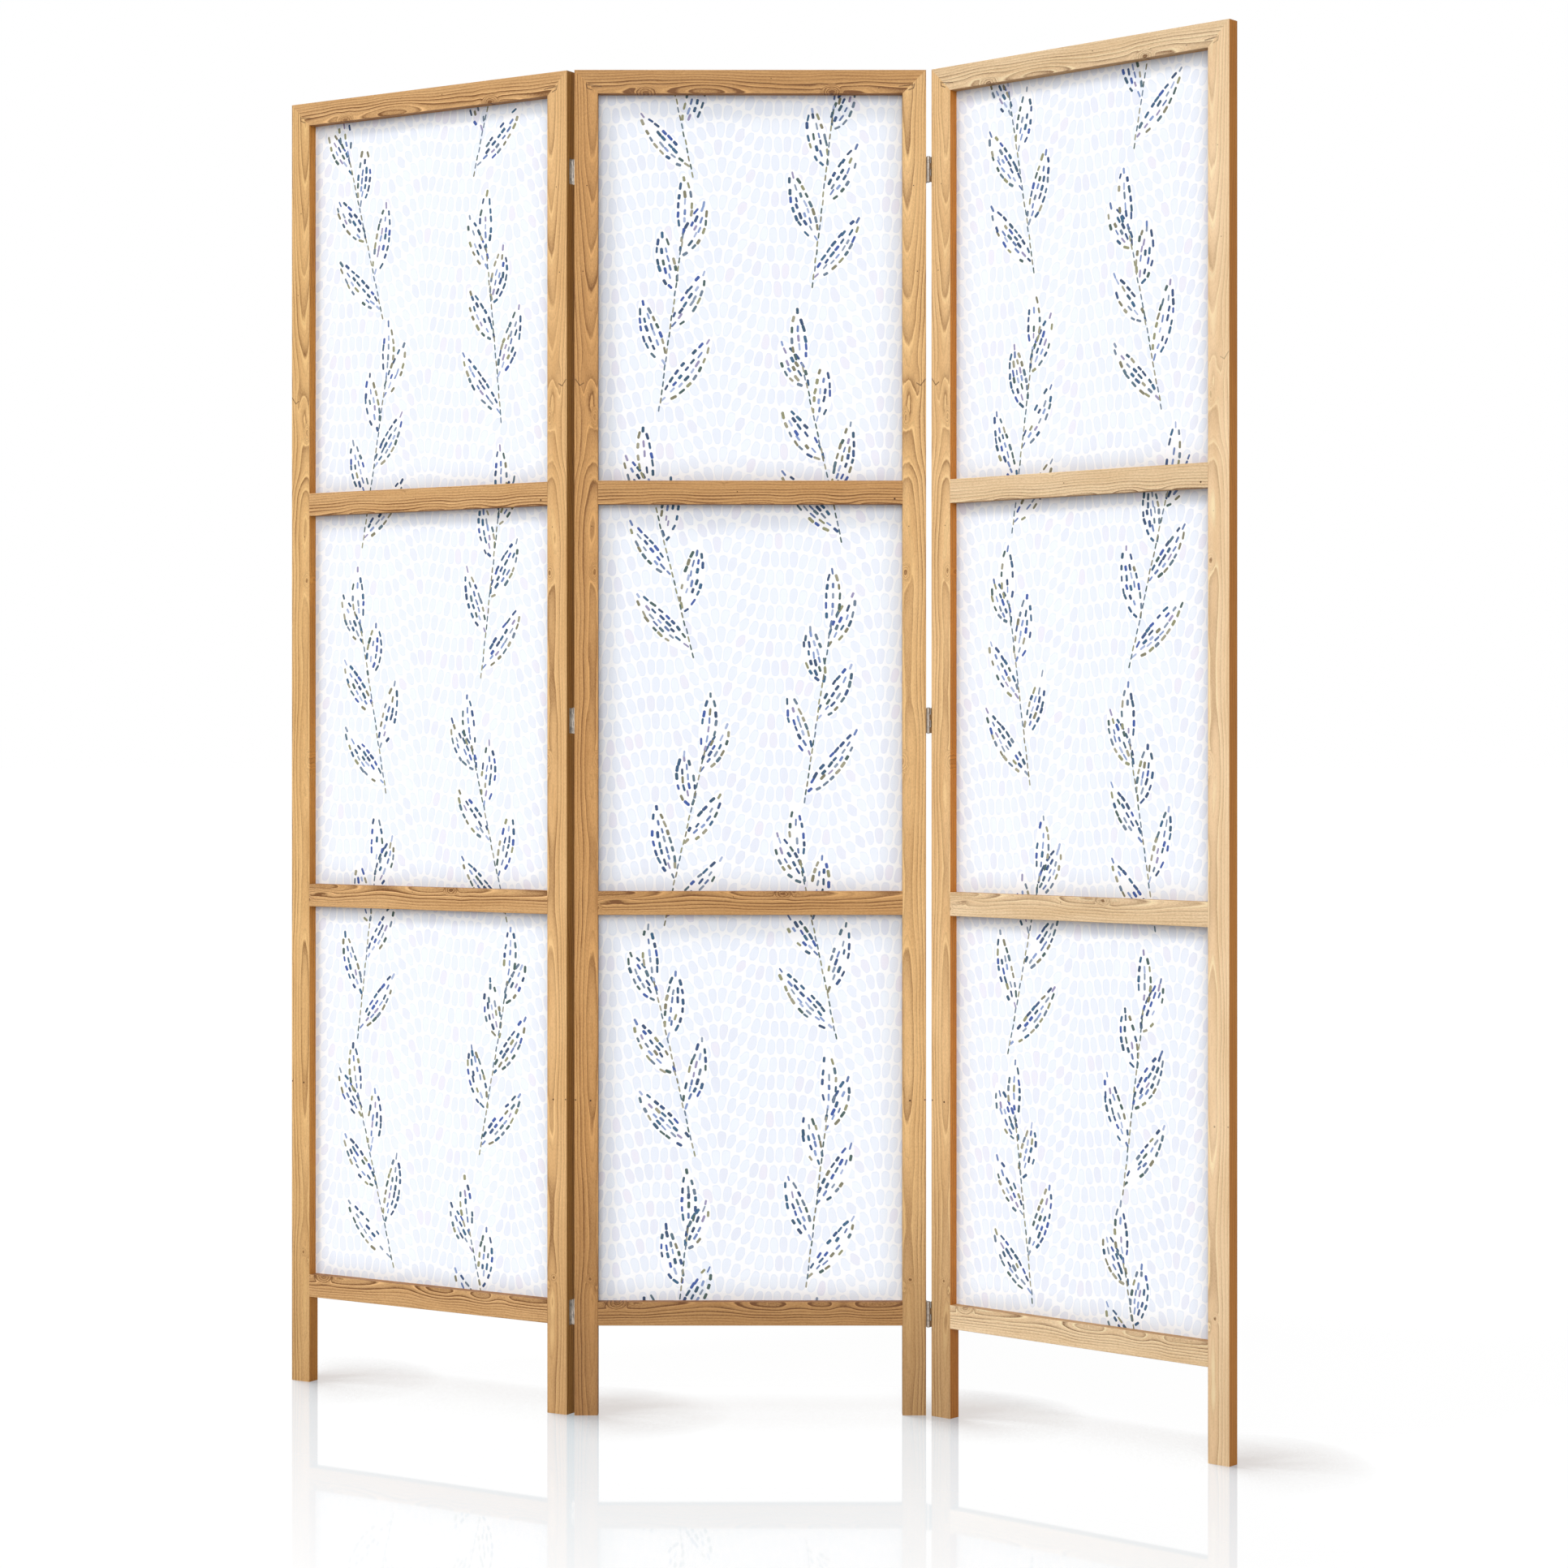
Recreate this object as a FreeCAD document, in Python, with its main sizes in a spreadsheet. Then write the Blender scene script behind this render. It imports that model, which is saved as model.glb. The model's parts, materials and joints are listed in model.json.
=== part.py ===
import FreeCAD, Part
import os
import re

import Sketcher

# Three-panel folding screen, millimetres, +Z up, printed side towards -Y.
# The origin lies on the floor, in the middle of the box around the screen as it stands.
# Each panel is drawn in its own frame: X across from its left edge, Y back from its front
# face, Z up from the floor. A placement then sets it at its angle.

SIZES = [
    ("panel_width", 447, "over the two stiles"),
    ("panel_height", 1710, "floor to top edge"),
    ("frame_depth", 18, "front face to back face of the timber"),
    ("stile_width", 30, "seen from the front"),
    ("rail_height", 30, "seen from the front"),
    ("leg_length", 114, "floor to underside of the bottom rail"),
    ("edge_radius", 0.6, "easing of the long edges"),
    ("rebate_width", 8, "step for the cloth, from the inner edge outwards"),
    ("rebate_depth", 4.5, "step for the cloth, from the back face forwards"),
    ("cloth_thickness", 0.7, "printed canvas"),
    ("cloth_edge_gap", 1, "canvas edge to the wall of the rebate"),
    ("bead_gap", 0.2, "retaining bead to the wall of the rebate"),
    ("dowel_diameter", 6, "beech dowel"),
    ("dowel_length", 34, "dowel of a butted rail"),
    ("dowel_in_stile", 15, "its depth in the stile"),
    ("mitre_dowel_length", 24, "dowel across a mitred corner"),
    ("dowel_fit", 0.05, "radial clearance of a dowel in its hole"),
    ("dowel_end_gap", 1, "glue room beyond each end of a dowel"),
    ("bead_pin_diameter", 1.4, "headless steel pin through a bead"),
    ("bead_pin_length", 12, "its whole length"),
    ("bead_pin_set", 0.3, "how far it is driven below the bead"),
    ("bead_pin_fit", 0.04, "radial clearance of a pin in its hole"),
    ("left_joint_gap", 0.4, "left panel to centre panel when they stand in line"),
    ("left_pin_stand_off", 1, "back face of the timber to the axis of the left pins"),
    ("right_pin_clearance", 0.05, "front face of the timber to the barrels of the right hinges"),
    ("hinge_height", 32, "length of the barrel"),
    ("leaf_thickness", 1.4, "sheet steel"),
    ("leaf_reach", 12.5, "pin axis to the free edge of a leaf"),
    ("leaf_corner_radius", 1.5, "free corners of a leaf"),
    ("hinge_pin_diameter", 2.5, "pin of a hinge"),
    ("hinge_pin_fit", 0.05, "radial clearance of the pin in the knuckles"),
    ("pin_head_diameter", 3.4, "riveted ends of the pin"),
    ("pin_head_height", 0.6, "riveted ends of the pin"),
    ("pin_end_gap", 0.1, "barrel end to pin head"),
    ("knuckle_gap", 0.25, "between neighbouring knuckles"),
    ("notch_gap", 0.3, "knuckle to the edge of the facing leaf"),
    ("seat_gap", 0.15, "leaf or barrel to the wall of its seat in the timber"),
    ("screw_diameter", 2.5, "shank"),
    ("screw_head_diameter", 4.5, "countersunk head"),
    ("screw_length", 13, "head included"),
    ("screw_tip_length", 2.5, "pointed end"),
    ("screw_fit", 0.05, "radial clearance of a screw in its hole"),
    ("screw_slot_width", 0.6, "cross recess"),
    ("screw_slot_length", 2.6, "cross recess"),
    ("screw_slot_depth", 0.5, "cross recess"),
    ("screw_reach", 7.75, "pin axis to the screws"),
    ("screw_spacing", 20, "between the two screws of a leaf"),
    ("top_hinge_drop", 127, "top edge of a panel to the middle of its top hinge"),
    ("middle_hinge_height", 883, "floor to the middle of the middle hinge"),
    ("left_angle", 30.8, "degrees that the left panel stands back"),
    ("right_angle", 40.8, "degrees that the right panel comes forward"),
    ("overrun", 1, "how far a cut runs past a face"),
]

DERIVED = {
    "window_height": "(panel_height - leg_length - 4 * rail_height) / 3",
    "bottom_rail_top": "leg_length + rail_height",
    "lower_rail_bottom": "bottom_rail_top + window_height",
    "upper_rail_bottom": "lower_rail_bottom + rail_height + window_height",
    "top_rail_bottom": "panel_height - rail_height",
    "right_stile_left": "panel_width - stile_width",
    "rebate_floor": "frame_depth - rebate_depth",
    "rebate_left": "stile_width - rebate_width",
    "rebate_right": "panel_width - rebate_left",
    "rebate_bottom": "bottom_rail_top - rebate_width",
    "rebate_top": "top_rail_bottom + rebate_width",
    "dowel_depth": "rebate_floor / 2",
    "bead_front": "rebate_floor + cloth_thickness",
    "bottom_hinge_height": "leg_length + rail_height / 2",
    "top_hinge_height": "panel_height - top_hinge_drop",
    "pin_radius": "hinge_pin_diameter / 2",
    "bore_radius": "pin_radius + hinge_pin_fit",
    "barrel_radius": "bore_radius + leaf_thickness",
    "leaf_inner_face": "barrel_radius - leaf_thickness",
    "seat_depth": "barrel_radius - left_joint_gap / 2",
    "seat_reach": "leaf_reach - left_pin_stand_off + seat_gap",
    "cove_reach": "hinge_height / 2 + pin_end_gap + pin_head_height + seat_gap",
    "right_joint_gap": "2 * barrel_radius",
    "right_pin_stand_off": "barrel_radius + right_pin_clearance",
    "knuckle_height": "hinge_height / 4",
    "screw_head_height": "(screw_head_diameter - screw_diameter) / 2",
    "left_swing": "panel_width + left_joint_gap / 2",
    "left_throw": "frame_depth + left_pin_stand_off",
    "right_swing": "panel_width + right_joint_gap / 2",
    "right_throw": "frame_depth + right_pin_stand_off",
    "centre_x": "-(panel_width + (right_joint_gap - left_joint_gap) / 2"
                " + right_swing * cos(right_angle) - left_swing * cos(left_angle)"
                " + right_throw * sin(right_angle) - left_throw * sin(left_angle)) / 2",
    "centre_y": "-(frame_depth + left_pin_stand_off - right_pin_stand_off"
                " + left_swing * sin(left_angle) - right_swing * sin(right_angle)"
                " + right_pin_stand_off * cos(right_angle) - left_pin_stand_off * cos(left_angle)) / 2",
    "left_pin_x": "centre_x - left_joint_gap / 2",
    "left_pin_y": "centre_y + left_throw",
    "right_pin_x": "centre_x + right_swing",
    "right_pin_y": "centre_y - right_pin_stand_off",
    "left_x": "left_pin_x - left_swing * cos(left_angle) - left_throw * sin(left_angle)",
    "left_y": "left_pin_y + left_swing * sin(left_angle) - left_throw * cos(left_angle)",
    "right_x": "right_pin_x + right_joint_gap / 2 * cos(right_angle)"
               " + right_pin_stand_off * sin(right_angle)",
    "right_y": "right_pin_y - right_joint_gap / 2 * sin(right_angle)"
               " + right_pin_stand_off * cos(right_angle)",
}

# Where the steel pins stand along a side bead and along a top or bottom bead.
SIDE_PIN_SHARES = (0.06, 0.35, 0.65, 0.94)
CROSS_PIN_SHARES = (0.2, 0.8)

# Panel name, place of its left front lower corner, and its turn about +Z.
PANELS = {
    "left_panel": ("left_x", "left_y", "-left_angle"),
    "centre_panel": ("centre_x", "centre_y", "0"),
    "right_panel": ("right_x", "right_y", "-right_angle"),
}

# Joint name: its pin axis, the half turn that faces its leaves, and the outer panel's turn.
JOINTS = {
    "left": ("left_pin_x", "left_pin_y", "180", "-left_angle"),
    "right": ("right_pin_x", "right_pin_y", "0", "-right_angle"),
}

HINGES = {
    "bottom": "bottom_hinge_height",
    "middle": "middle_hinge_height",
    "top": "top_hinge_height",
}

doc = FreeCAD.newDocument("folding_screen")
sizes = doc.addObject("Spreadsheet::Sheet", "sizes")
for row, (alias, number, note) in enumerate(SIZES, start=1):
    sizes.set("A%d" % row, alias)
    sizes.set("B%d" % row, str(number))
    sizes.set("C%d" % row, note)
    sizes.setAlias("B%d" % row, alias)
doc.recompute()

ALIASES = {alias for alias, number, note in SIZES}
NODES = []


def formula(text):
    """Spell out the derived names in a formula and point the rest at the sheet."""
    def spell(match):
        word = match.group(0)
        if word in DERIVED:
            return "(" + formula(DERIVED[word]) + ")"
        if word in ALIASES:
            return "sizes." + word
        return word
    return re.sub(r"[a-z_]+", spell, text)


def value(text):
    """The number that a formula gives with the sheet's present values."""
    return float(sizes.evalExpression(formula(text)))


def bind(item, **formulas):
    for name, text in formulas.items():
        item.setExpression(name, formula(text))


def place(item, x, y, z, turn="0", axis=(0, 0, 1)):
    """Bind an object's place to formulas, and its turn in degrees about an axis."""
    item.Placement = FreeCAD.Placement(FreeCAD.Vector(), FreeCAD.Rotation(FreeCAD.Vector(*axis), 1))
    item.setExpression("Placement.Base.x", formula(x))
    item.setExpression("Placement.Base.y", formula(y))
    item.setExpression("Placement.Base.z", formula(z))
    item.setExpression("Placement.Rotation.Angle", formula(turn))


def node(item, label, x, y, z, turn):
    """Make an object one of the screen's named pieces."""
    item.Label = label
    place(item, x, y, z, turn)
    NODES.append(item)


def panel_node(item, panel, piece):
    x, y, turn = PANELS[panel]
    node(item, panel + "_" + piece, x, y, "0", turn)


def box(name, x, y, z, width, depth, height, turn="0", axis=(0, 0, 1)):
    item = doc.addObject("Part::Box", name)
    bind(item, Length=width, Width=depth, Height=height)
    place(item, x, y, z, turn, axis)
    return item


def cylinder(name, radius, height, x, y, z, turn="0", axis=(0, 0, 1)):
    item = doc.addObject("Part::Cylinder", name)
    bind(item, Radius=radius, Height=height)
    place(item, x, y, z, turn, axis)
    return item


def cut(name, base, tool):
    item = doc.addObject("Part::Cut", name)
    item.Base = base
    item.Tool = tool
    return item


def fuse(name, pieces):
    item = doc.addObject("Part::MultiFuse", name)
    item.Shapes = pieces
    return item


def group(name, pieces):
    item = doc.addObject("Part::Compound", name)
    item.Links = pieces
    return item


def pin_point(sketch, kind, line, text, axis):
    """Hold a line's first point at a distance from the sketch's origin."""
    if text == "0":
        sketch.addConstraint(Sketcher.Constraint("PointOnObject", line, 1, axis))
        return
    distance = Sketcher.Constraint(kind, -1, 1, line, 1, value(text))
    index = sketch.addConstraint(distance)
    sketch.setExpression("Constraints[%d]" % index, formula(text))


def draw_outline(body, name, corners, setback):
    """A closed outline in the panel's front view, set back from the front face."""
    sketch = body.newObject("Sketcher::SketchObject", name)
    planes = body.Origin.OriginFeatures
    front = [plane for plane in planes if plane.Role == "XZ_Plane"][0]
    sketch.AttachmentSupport = [(front, "")]
    sketch.MapMode = "FlatFace"
    if setback != "0":
        sketch.setExpression("AttachmentOffset.Base.z", formula("-(" + setback + ")"))
    points = [FreeCAD.Vector(value(x), value(z), 0) for x, z in corners]
    following = points[1:] + points[:1]
    for start, end in zip(points, following):
        sketch.addGeometry(Part.LineSegment(start, end), False)
    for line, (x, z) in enumerate(corners):
        after = (line + 1) % len(corners)
        sketch.addConstraint(Sketcher.Constraint("Coincident", line, 2, after, 1))
        pin_point(sketch, "DistanceX", line, x, -2)
        pin_point(sketch, "DistanceY", line, z, -1)
    return sketch


def long_edges(shape, along):
    """Names of the straight edges that run along a direction."""
    names = []
    for number, edge in enumerate(shape.Edges, start=1):
        run = edge.Vertexes[-1].Point - edge.Vertexes[0].Point
        if run.cross(along).Length < run.Length * 1e-6:
            names.append("Edge%d" % number)
    return names


def timber(name, corners, depth, along, setback="0"):
    """A planed length of pine with its long edges eased."""
    body = doc.addObject("PartDesign::Body", name)
    sketch = draw_outline(body, name + "_outline", corners, setback)
    pad = body.newObject("PartDesign::Pad", name + "_pad")
    pad.Profile = sketch
    pad.Reversed = True
    bind(pad, Length=depth)
    doc.recompute()
    easing = body.newObject("PartDesign::Fillet", name + "_easing")
    easing.Base = (pad, long_edges(pad.Shape, along))
    bind(easing, Radius="edge_radius")
    body.Tip = easing
    return body


def strip(left, bottom, right, top):
    return [(left, bottom), (right, bottom), (right, top), (left, top)]


UP = FreeCAD.Vector(0, 0, 1)
ACROSS = FreeCAD.Vector(1, 0, 0)


def make_frame_blanks():
    """The six timbers of a panel's frame, before any hole is drilled."""
    left = [("0", "0"), ("stile_width", "0"), ("stile_width", "top_rail_bottom"), ("0", "panel_height")]
    right = [("right_stile_left", "0"), ("panel_width", "0"),
             ("panel_width", "panel_height"), ("right_stile_left", "top_rail_bottom")]
    top = [("stile_width", "top_rail_bottom"), ("right_stile_left", "top_rail_bottom"),
           ("panel_width", "panel_height"), ("0", "panel_height")]
    blanks = {
        "left_stile": timber("left_stile_blank", left, "frame_depth", UP),
        "right_stile": timber("right_stile_blank", right, "frame_depth", UP),
        "top_rail": timber("top_rail_blank", top, "frame_depth", ACROSS),
    }
    for rail, depth in (("upper_rail", "rebate_floor"), ("lower_rail", "rebate_floor"),
                        ("bottom_rail", "frame_depth")):
        bottom = {"bottom_rail": "leg_length"}.get(rail, rail + "_bottom")
        corners = strip("stile_width", bottom, "right_stile_left", bottom + " + rail_height")
        blanks[rail] = timber(rail + "_blank", corners, depth, ACROSS)
    return blanks


def make_bead_blanks():
    """The four retaining beads that close the rebate over the cloth."""
    low = "rebate_bottom + bead_gap"
    high = "rebate_top - bead_gap"
    spans = {
        "left_bead": (strip("rebate_left + bead_gap", low, "stile_width", high), UP),
        "right_bead": (strip("right_stile_left", low, "rebate_right - bead_gap", high), UP),
        "top_bead": (strip("stile_width", "top_rail_bottom", "right_stile_left", high), ACROSS),
        "bottom_bead": (strip("stile_width", low, "right_stile_left", "bottom_rail_top"), ACROSS),
    }
    depth = "frame_depth - bead_front"
    return {bead: timber(bead + "_blank", corners, depth, along, "bead_front")
            for bead, (corners, along) in spans.items()}


def make_dowels(kind, extra_radius, extra_end):
    """Six dowels along X for the butted rails and two across the mitres."""
    radius = "dowel_diameter / 2" + extra_radius
    length = "dowel_length" + extra_end + extra_end
    mitre_length = "mitre_dowel_length" + extra_end + extra_end
    items = []
    for rail in ("bottom_rail", "lower_rail", "upper_rail"):
        bottom = {"bottom_rail": "leg_length"}.get(rail, rail + "_bottom")
        middle = bottom + " + rail_height / 2"
        starts = {"left": "stile_width - (dowel_in_stile" + extra_end + ")",
                  "right": "right_stile_left + dowel_in_stile - dowel_length - (0" + extra_end + ")"}
        for side, start in starts.items():
            name = "%s_%s_%s" % (rail, side, kind)
            items.append(cylinder(name, radius, length, start, "dowel_depth", middle, "90", (0, 1, 0)))
    for side, across, lean in (("left", "stile_width / 2", 1), ("right", "panel_width - stile_width / 2", -1)):
        angle = "atan(stile_width / rail_height)"
        reach = "(" + mitre_length + ") / 2"
        start = across + (" - " if lean > 0 else " + ") + reach + " * sin(" + angle + ")"
        foot = "panel_height - rail_height / 2 - " + reach + " * cos(" + angle + ")"
        name = "mitre_%s_%s" % (side, kind)
        items.append(cylinder(name, radius, mitre_length, start, "dowel_depth", foot, angle, (0, lean, 0)))
    return items


def bead_pin_places():
    """Front-view places of the steel pins, along the middle of each bead."""
    middle = "rebate_width / 2"
    across = "(rebate_right - rebate_left)"
    places = []
    for share in SIDE_PIN_SHARES:
        height = "rebate_bottom + (rebate_top - rebate_bottom) * %s" % share
        places.append(("rebate_left + " + middle, height))
        places.append(("rebate_right - " + middle, height))
    for share in CROSS_PIN_SHARES:
        start = "rebate_left + " + across + " * %s" % share
        places.append((start, "rebate_bottom + " + middle))
        places.append((start, "rebate_top - " + middle))
    return places


def make_bead_pins(kind, extra_radius, start, length):
    """Pins that point forwards from the back of the beads."""
    radius = "bead_pin_diameter / 2" + extra_radius
    return [cylinder("bead_%s_%d" % (kind, number), radius, length, x, start, z, "90", (1, 0, 0))
            for number, (x, z) in enumerate(bead_pin_places(), start=1)]


def screw_places(face, joint):
    """Places in a panel's frame of the six hinge screws in one edge of the panel."""
    y = {"left": "left_throw - screw_reach", "right": "screw_reach - right_pin_stand_off"}[joint]
    sunk = {"left": "(seat_depth - leaf_thickness)", "right": "(-leaf_thickness)"}[joint]
    x = {"left": sunk, "right": "panel_width - " + sunk}[face]
    places = []
    for height in HINGES.values():
        for sign in (" - ", " + "):
            places.append((x, y, height + sign + "screw_spacing / 2"))
    return places


def make_seats(panel, face):
    """The seats in one edge of a panel that let the left joint's leaves and barrels into it."""
    x = {"left": "-overrun", "right": "panel_width - seat_depth"}[face]
    pin_x = {"left": "-left_joint_gap / 2", "right": "left_swing"}[face]
    seats = []
    for hinge, height in HINGES.items():
        name = "%s_%s_%s_" % (panel, face, hinge)
        seats.append(box(name + "seat", x, "frame_depth - seat_reach", height + " - hinge_height / 2 - seat_gap",
                         "seat_depth + overrun", "seat_reach + overrun", "hinge_height + 2 * seat_gap"))
        seats.append(cylinder(name + "cove", "barrel_radius + seat_gap", "2 * cove_reach",
                              pin_x, "left_throw", height + " - cove_reach"))
    return seats


def make_screw_blank():
    """A countersunk wood screw that points up from its head at the origin."""
    head = doc.addObject("Part::Cone", "screw_head")
    bind(head, Radius1="screw_head_diameter / 2", Radius2="screw_diameter / 2", Height="screw_head_height")
    shank_length = "screw_length - screw_head_height - screw_tip_length"
    shank = cylinder("screw_shank", "screw_diameter / 2", shank_length, "0", "0", "screw_head_height")
    tip = doc.addObject("Part::Cone", "screw_tip")
    bind(tip, Radius1="screw_diameter / 2", Radius2="screw_diameter / 12", Height="screw_tip_length")
    place(tip, "0", "0", "screw_length - screw_tip_length")
    return fuse("screw_blank", [head, shank, tip])


def make_screw_recess():
    """The cross recess in a screw's head."""
    half = "-screw_slot_length / 2"
    side = "-screw_slot_width / 2"
    first = box("recess_slot_1", half, side, "0", "screw_slot_length", "screw_slot_width", "screw_slot_depth")
    second = box("recess_slot_2", side, half, "0", "screw_slot_width", "screw_slot_length", "screw_slot_depth")
    return fuse("screw_recess", [first, second])


def make_screws(panel, edges, blank, recess):
    """All hinge screws of one panel, and the seats and pilot holes in each of its edges."""
    screws = []
    holes = {}
    for face, joint in edges.items():
        turn = {"left": "90", "right": "-90"}[face]
        holes[face] = make_seats(panel, face) if joint == "left" else []
        for number, (x, y, z) in enumerate(screw_places(face, joint), start=1):
            name = "%s_%s_%d" % (panel, face, number)
            screw = cut(name + "_screw", blank, recess)
            place(screw, x, y, z, turn, (0, 1, 0))
            screws.append(screw)
            hole_length = "screw_length + screw_fit"
            holes[face].append(cylinder(name + "_pilot", "screw_diameter / 2 + screw_fit", hole_length,
                                        x, y, z, turn, (0, 1, 0)))
    return screws, holes


def make_leaf_blank(name, side, own_rows):
    """A sheet steel leaf with two rolled knuckles, drawn about its pin axis.

    The leaf lies at +X or -X of the axis, tangent to the barrel, and reaches to +Y.
    """
    half = "hinge_height / 2"
    face = {1: "leaf_inner_face", -1: "-barrel_radius"}[side]
    plate = box(name + "_plate", face, "0", "-" + half, "leaf_thickness", "leaf_reach", "hinge_height")
    doc.recompute()
    rounded = doc.addObject("Part::Fillet", name + "_corners")
    rounded.Base = plate
    radius = value("leaf_corner_radius")
    far = value("leaf_reach")
    corners = [number for number, edge in enumerate(plate.Shape.Edges, start=1)
               if all(abs(vertex.Point.y - far) < far * 1e-6 for vertex in edge.Vertexes)
               and abs(edge.Vertexes[0].Point.x - edge.Vertexes[1].Point.x) > 0]
    rounded.Edges = [(number, radius, radius) for number in corners]
    barrel = cylinder(name + "_barrel", "barrel_radius", "hinge_height", "0", "0", "-" + half)
    solid = fuse(name + "_body", [rounded, barrel])
    tools = [cylinder(name + "_bore", "bore_radius", "hinge_height + 2 * overrun",
                      "0", "0", "-" + half + " - overrun")]
    for row_number in range(4):
        if row_number in own_rows:
            continue
        low = "-" + half + " + %d * knuckle_height - " % row_number
        below = "overrun" if row_number == 0 else "knuckle_gap / 2"
        above = "overrun" if row_number == 3 else "knuckle_gap / 2"
        notch = "%s_notch_%d" % (name, row_number)
        tools.append(box(notch, "-barrel_radius - overrun", "-barrel_radius - overrun", low + below,
                         "2 * (barrel_radius + overrun)", "2 * barrel_radius + overrun + notch_gap",
                         "knuckle_height + " + below + " + " + above))
    return cut(name + "_blank", solid, group(name + "_tools", tools))


def make_countersinks(name, side):
    """The two countersunk holes of a leaf, drawn about its pin axis."""
    x = {1: "leaf_inner_face", -1: "-leaf_inner_face"}[side]
    turn = {1: "90", -1: "-90"}[side]
    items = []
    for number, sign in enumerate(("-", ""), start=1):
        height = sign + "screw_spacing / 2"
        cone = doc.addObject("Part::Cone", "%s_sink_%d" % (name, number))
        bind(cone, Radius1="screw_head_diameter / 2 + screw_fit", Radius2="screw_diameter / 2 + screw_fit",
             Height="screw_head_height")
        place(cone, x, "screw_reach", height, turn, (0, 1, 0))
        items.append(cone)
        items.append(cylinder("%s_hole_%d" % (name, number), "screw_diameter / 2 + screw_fit",
                              "leaf_thickness + overrun", x, "screw_reach", height, turn, (0, 1, 0)))
    return fuse(name + "_holes", items)


def make_hinge_pin():
    """The parts of a pin with a riveted head at each end, drawn about its axis."""
    end = "hinge_height / 2 + pin_end_gap"
    shank = cylinder("pin_shank", "pin_radius", "2 * (" + end + ")", "0", "0", "-(" + end + ")")
    upper = cylinder("pin_upper_head", "pin_head_diameter / 2", "pin_head_height", "0", "0", end)
    lower = cylinder("pin_lower_head", "pin_head_diameter / 2", "pin_head_height",
                     "0", "0", "-(" + end + ") - pin_head_height")
    return [shank, upper, lower]


# Shapes that the three panels share.
timbers = make_frame_blanks()
beads = make_bead_blanks()
rebate = box("rebate_room", "rebate_left", "rebate_floor", "rebate_bottom",
             "rebate_right - rebate_left", "rebate_depth + overrun", "rebate_top - rebate_bottom")
dowels = make_dowels("dowel", "", "")
dowel_holes = make_dowels("dowel_hole", " + dowel_fit", " + dowel_end_gap")
bead_pins = make_bead_pins("pin", "", "frame_depth - bead_pin_set", "bead_pin_length")
bead_pin_holes = make_bead_pins("pin_hole", " + bead_pin_fit", "frame_depth + overrun",
                                "bead_pin_length + bead_pin_set + bead_pin_fit + overrun")
cloth_width = "rebate_right - rebate_left - 2 * cloth_edge_gap"
cloth_height = "rebate_top - rebate_bottom - 2 * cloth_edge_gap"
cloth = box("cloth_blank", "rebate_left + cloth_edge_gap", "rebate_floor", "rebate_bottom + cloth_edge_gap",
            cloth_width, "cloth_thickness", cloth_height)
screw_blank = make_screw_blank()
screw_recess = make_screw_recess()
pierced = group("bead_pin_holes", bead_pin_holes)

# The edges of each panel that carry hinges, and the joint that they belong to. The left
# joint's pins stand at the back and its hinges are let into the edges. The right joint's
# pins stand at the front and its hinges lie on the edges.
HINGED_EDGES = {
    "left_panel": {"right": "left"},
    "centre_panel": {"left": "left", "right": "right"},
    "right_panel": {"left": "right"},
}

for panel, edges in HINGED_EDGES.items():
    screws, seats = make_screws(panel, edges, screw_blank, screw_recess)
    for piece, blank in timbers.items():
        removed = dowel_holes + bead_pin_holes
        if piece not in ("upper_rail", "lower_rail"):
            removed = removed + [rebate]
        if piece.endswith("_stile"):
            removed = removed + seats.get(piece.split("_")[0], [])
        tools = group("%s_%s_holes" % (panel, piece), removed)
        panel_node(cut("%s_%s" % (panel, piece), blank, tools), panel, piece)
    for piece, blank in beads.items():
        panel_node(cut("%s_%s" % (panel, piece), blank, pierced), panel, piece)
    panel_node(cut(panel + "_canvas", cloth, pierced), panel, "canvas")
    panel_node(group(panel + "_dowels", dowels), panel, "dowels")
    panel_node(group(panel + "_bead_pins", bead_pins), panel, "bead_pins")
    panel_node(group(panel + "_hinge_screws", screws), panel, "hinge_screws")

# The leaf on the outer panel lies at +X of the axis and the leaf on the centre panel at -X.
outer_leaf = make_leaf_blank("outer_leaf", 1, (0, 2))
centre_leaf = make_leaf_blank("centre_leaf", -1, (1, 3))
outer_holes = make_countersinks("outer_leaf", 1)
centre_holes = make_countersinks("centre_leaf", -1)
pin_parts = make_hinge_pin()

for joint, (x, y, half_turn, opened) in JOINTS.items():
    for hinge, height in HINGES.items():
        name = "%s_%s_hinge_" % (joint, hinge)
        outer = cut(name + "outer_leaf", outer_leaf, outer_holes)
        node(outer, name + "outer_leaf", x, y, height, half_turn + " + (" + opened + ")")
        centre = cut(name + "centre_leaf", centre_leaf, centre_holes)
        node(centre, name + "centre_leaf", x, y, height, half_turn)
        pin = fuse(name + "pin", pin_parts)
        node(pin, name + "pin", x, y, height, half_turn)

doc.recompute()

for item in doc.Objects:
    if "Invalid" in item.State or "Error" in item.State:
        raise RuntimeError(item.Name + " failed: " + ", ".join(item.State))
for item in NODES:
    if item.Shape.isNull() or not item.Shape.isValid() or not item.Shape.Solids:
        raise RuntimeError(item.Label + " has no valid solid")

os.makedirs("parts", exist_ok=True)
for item in NODES:
    item.Shape.exportStep(os.path.join("parts", item.Label + ".step"))
    box_size = item.Shape.BoundBox
    print("%s: %d solids, %.0f mm3, box %.1f x %.1f x %.1f" % (
        item.Label, len(item.Shape.Solids), item.Shape.Volume,
        box_size.XLength, box_size.YLength, box_size.ZLength))
print("nodes:", len(NODES))
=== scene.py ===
import json
import math
import random

import bpy
from mathutils import Matrix, Vector
from mathutils.geometry import delaunay_2d_cdt


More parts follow.
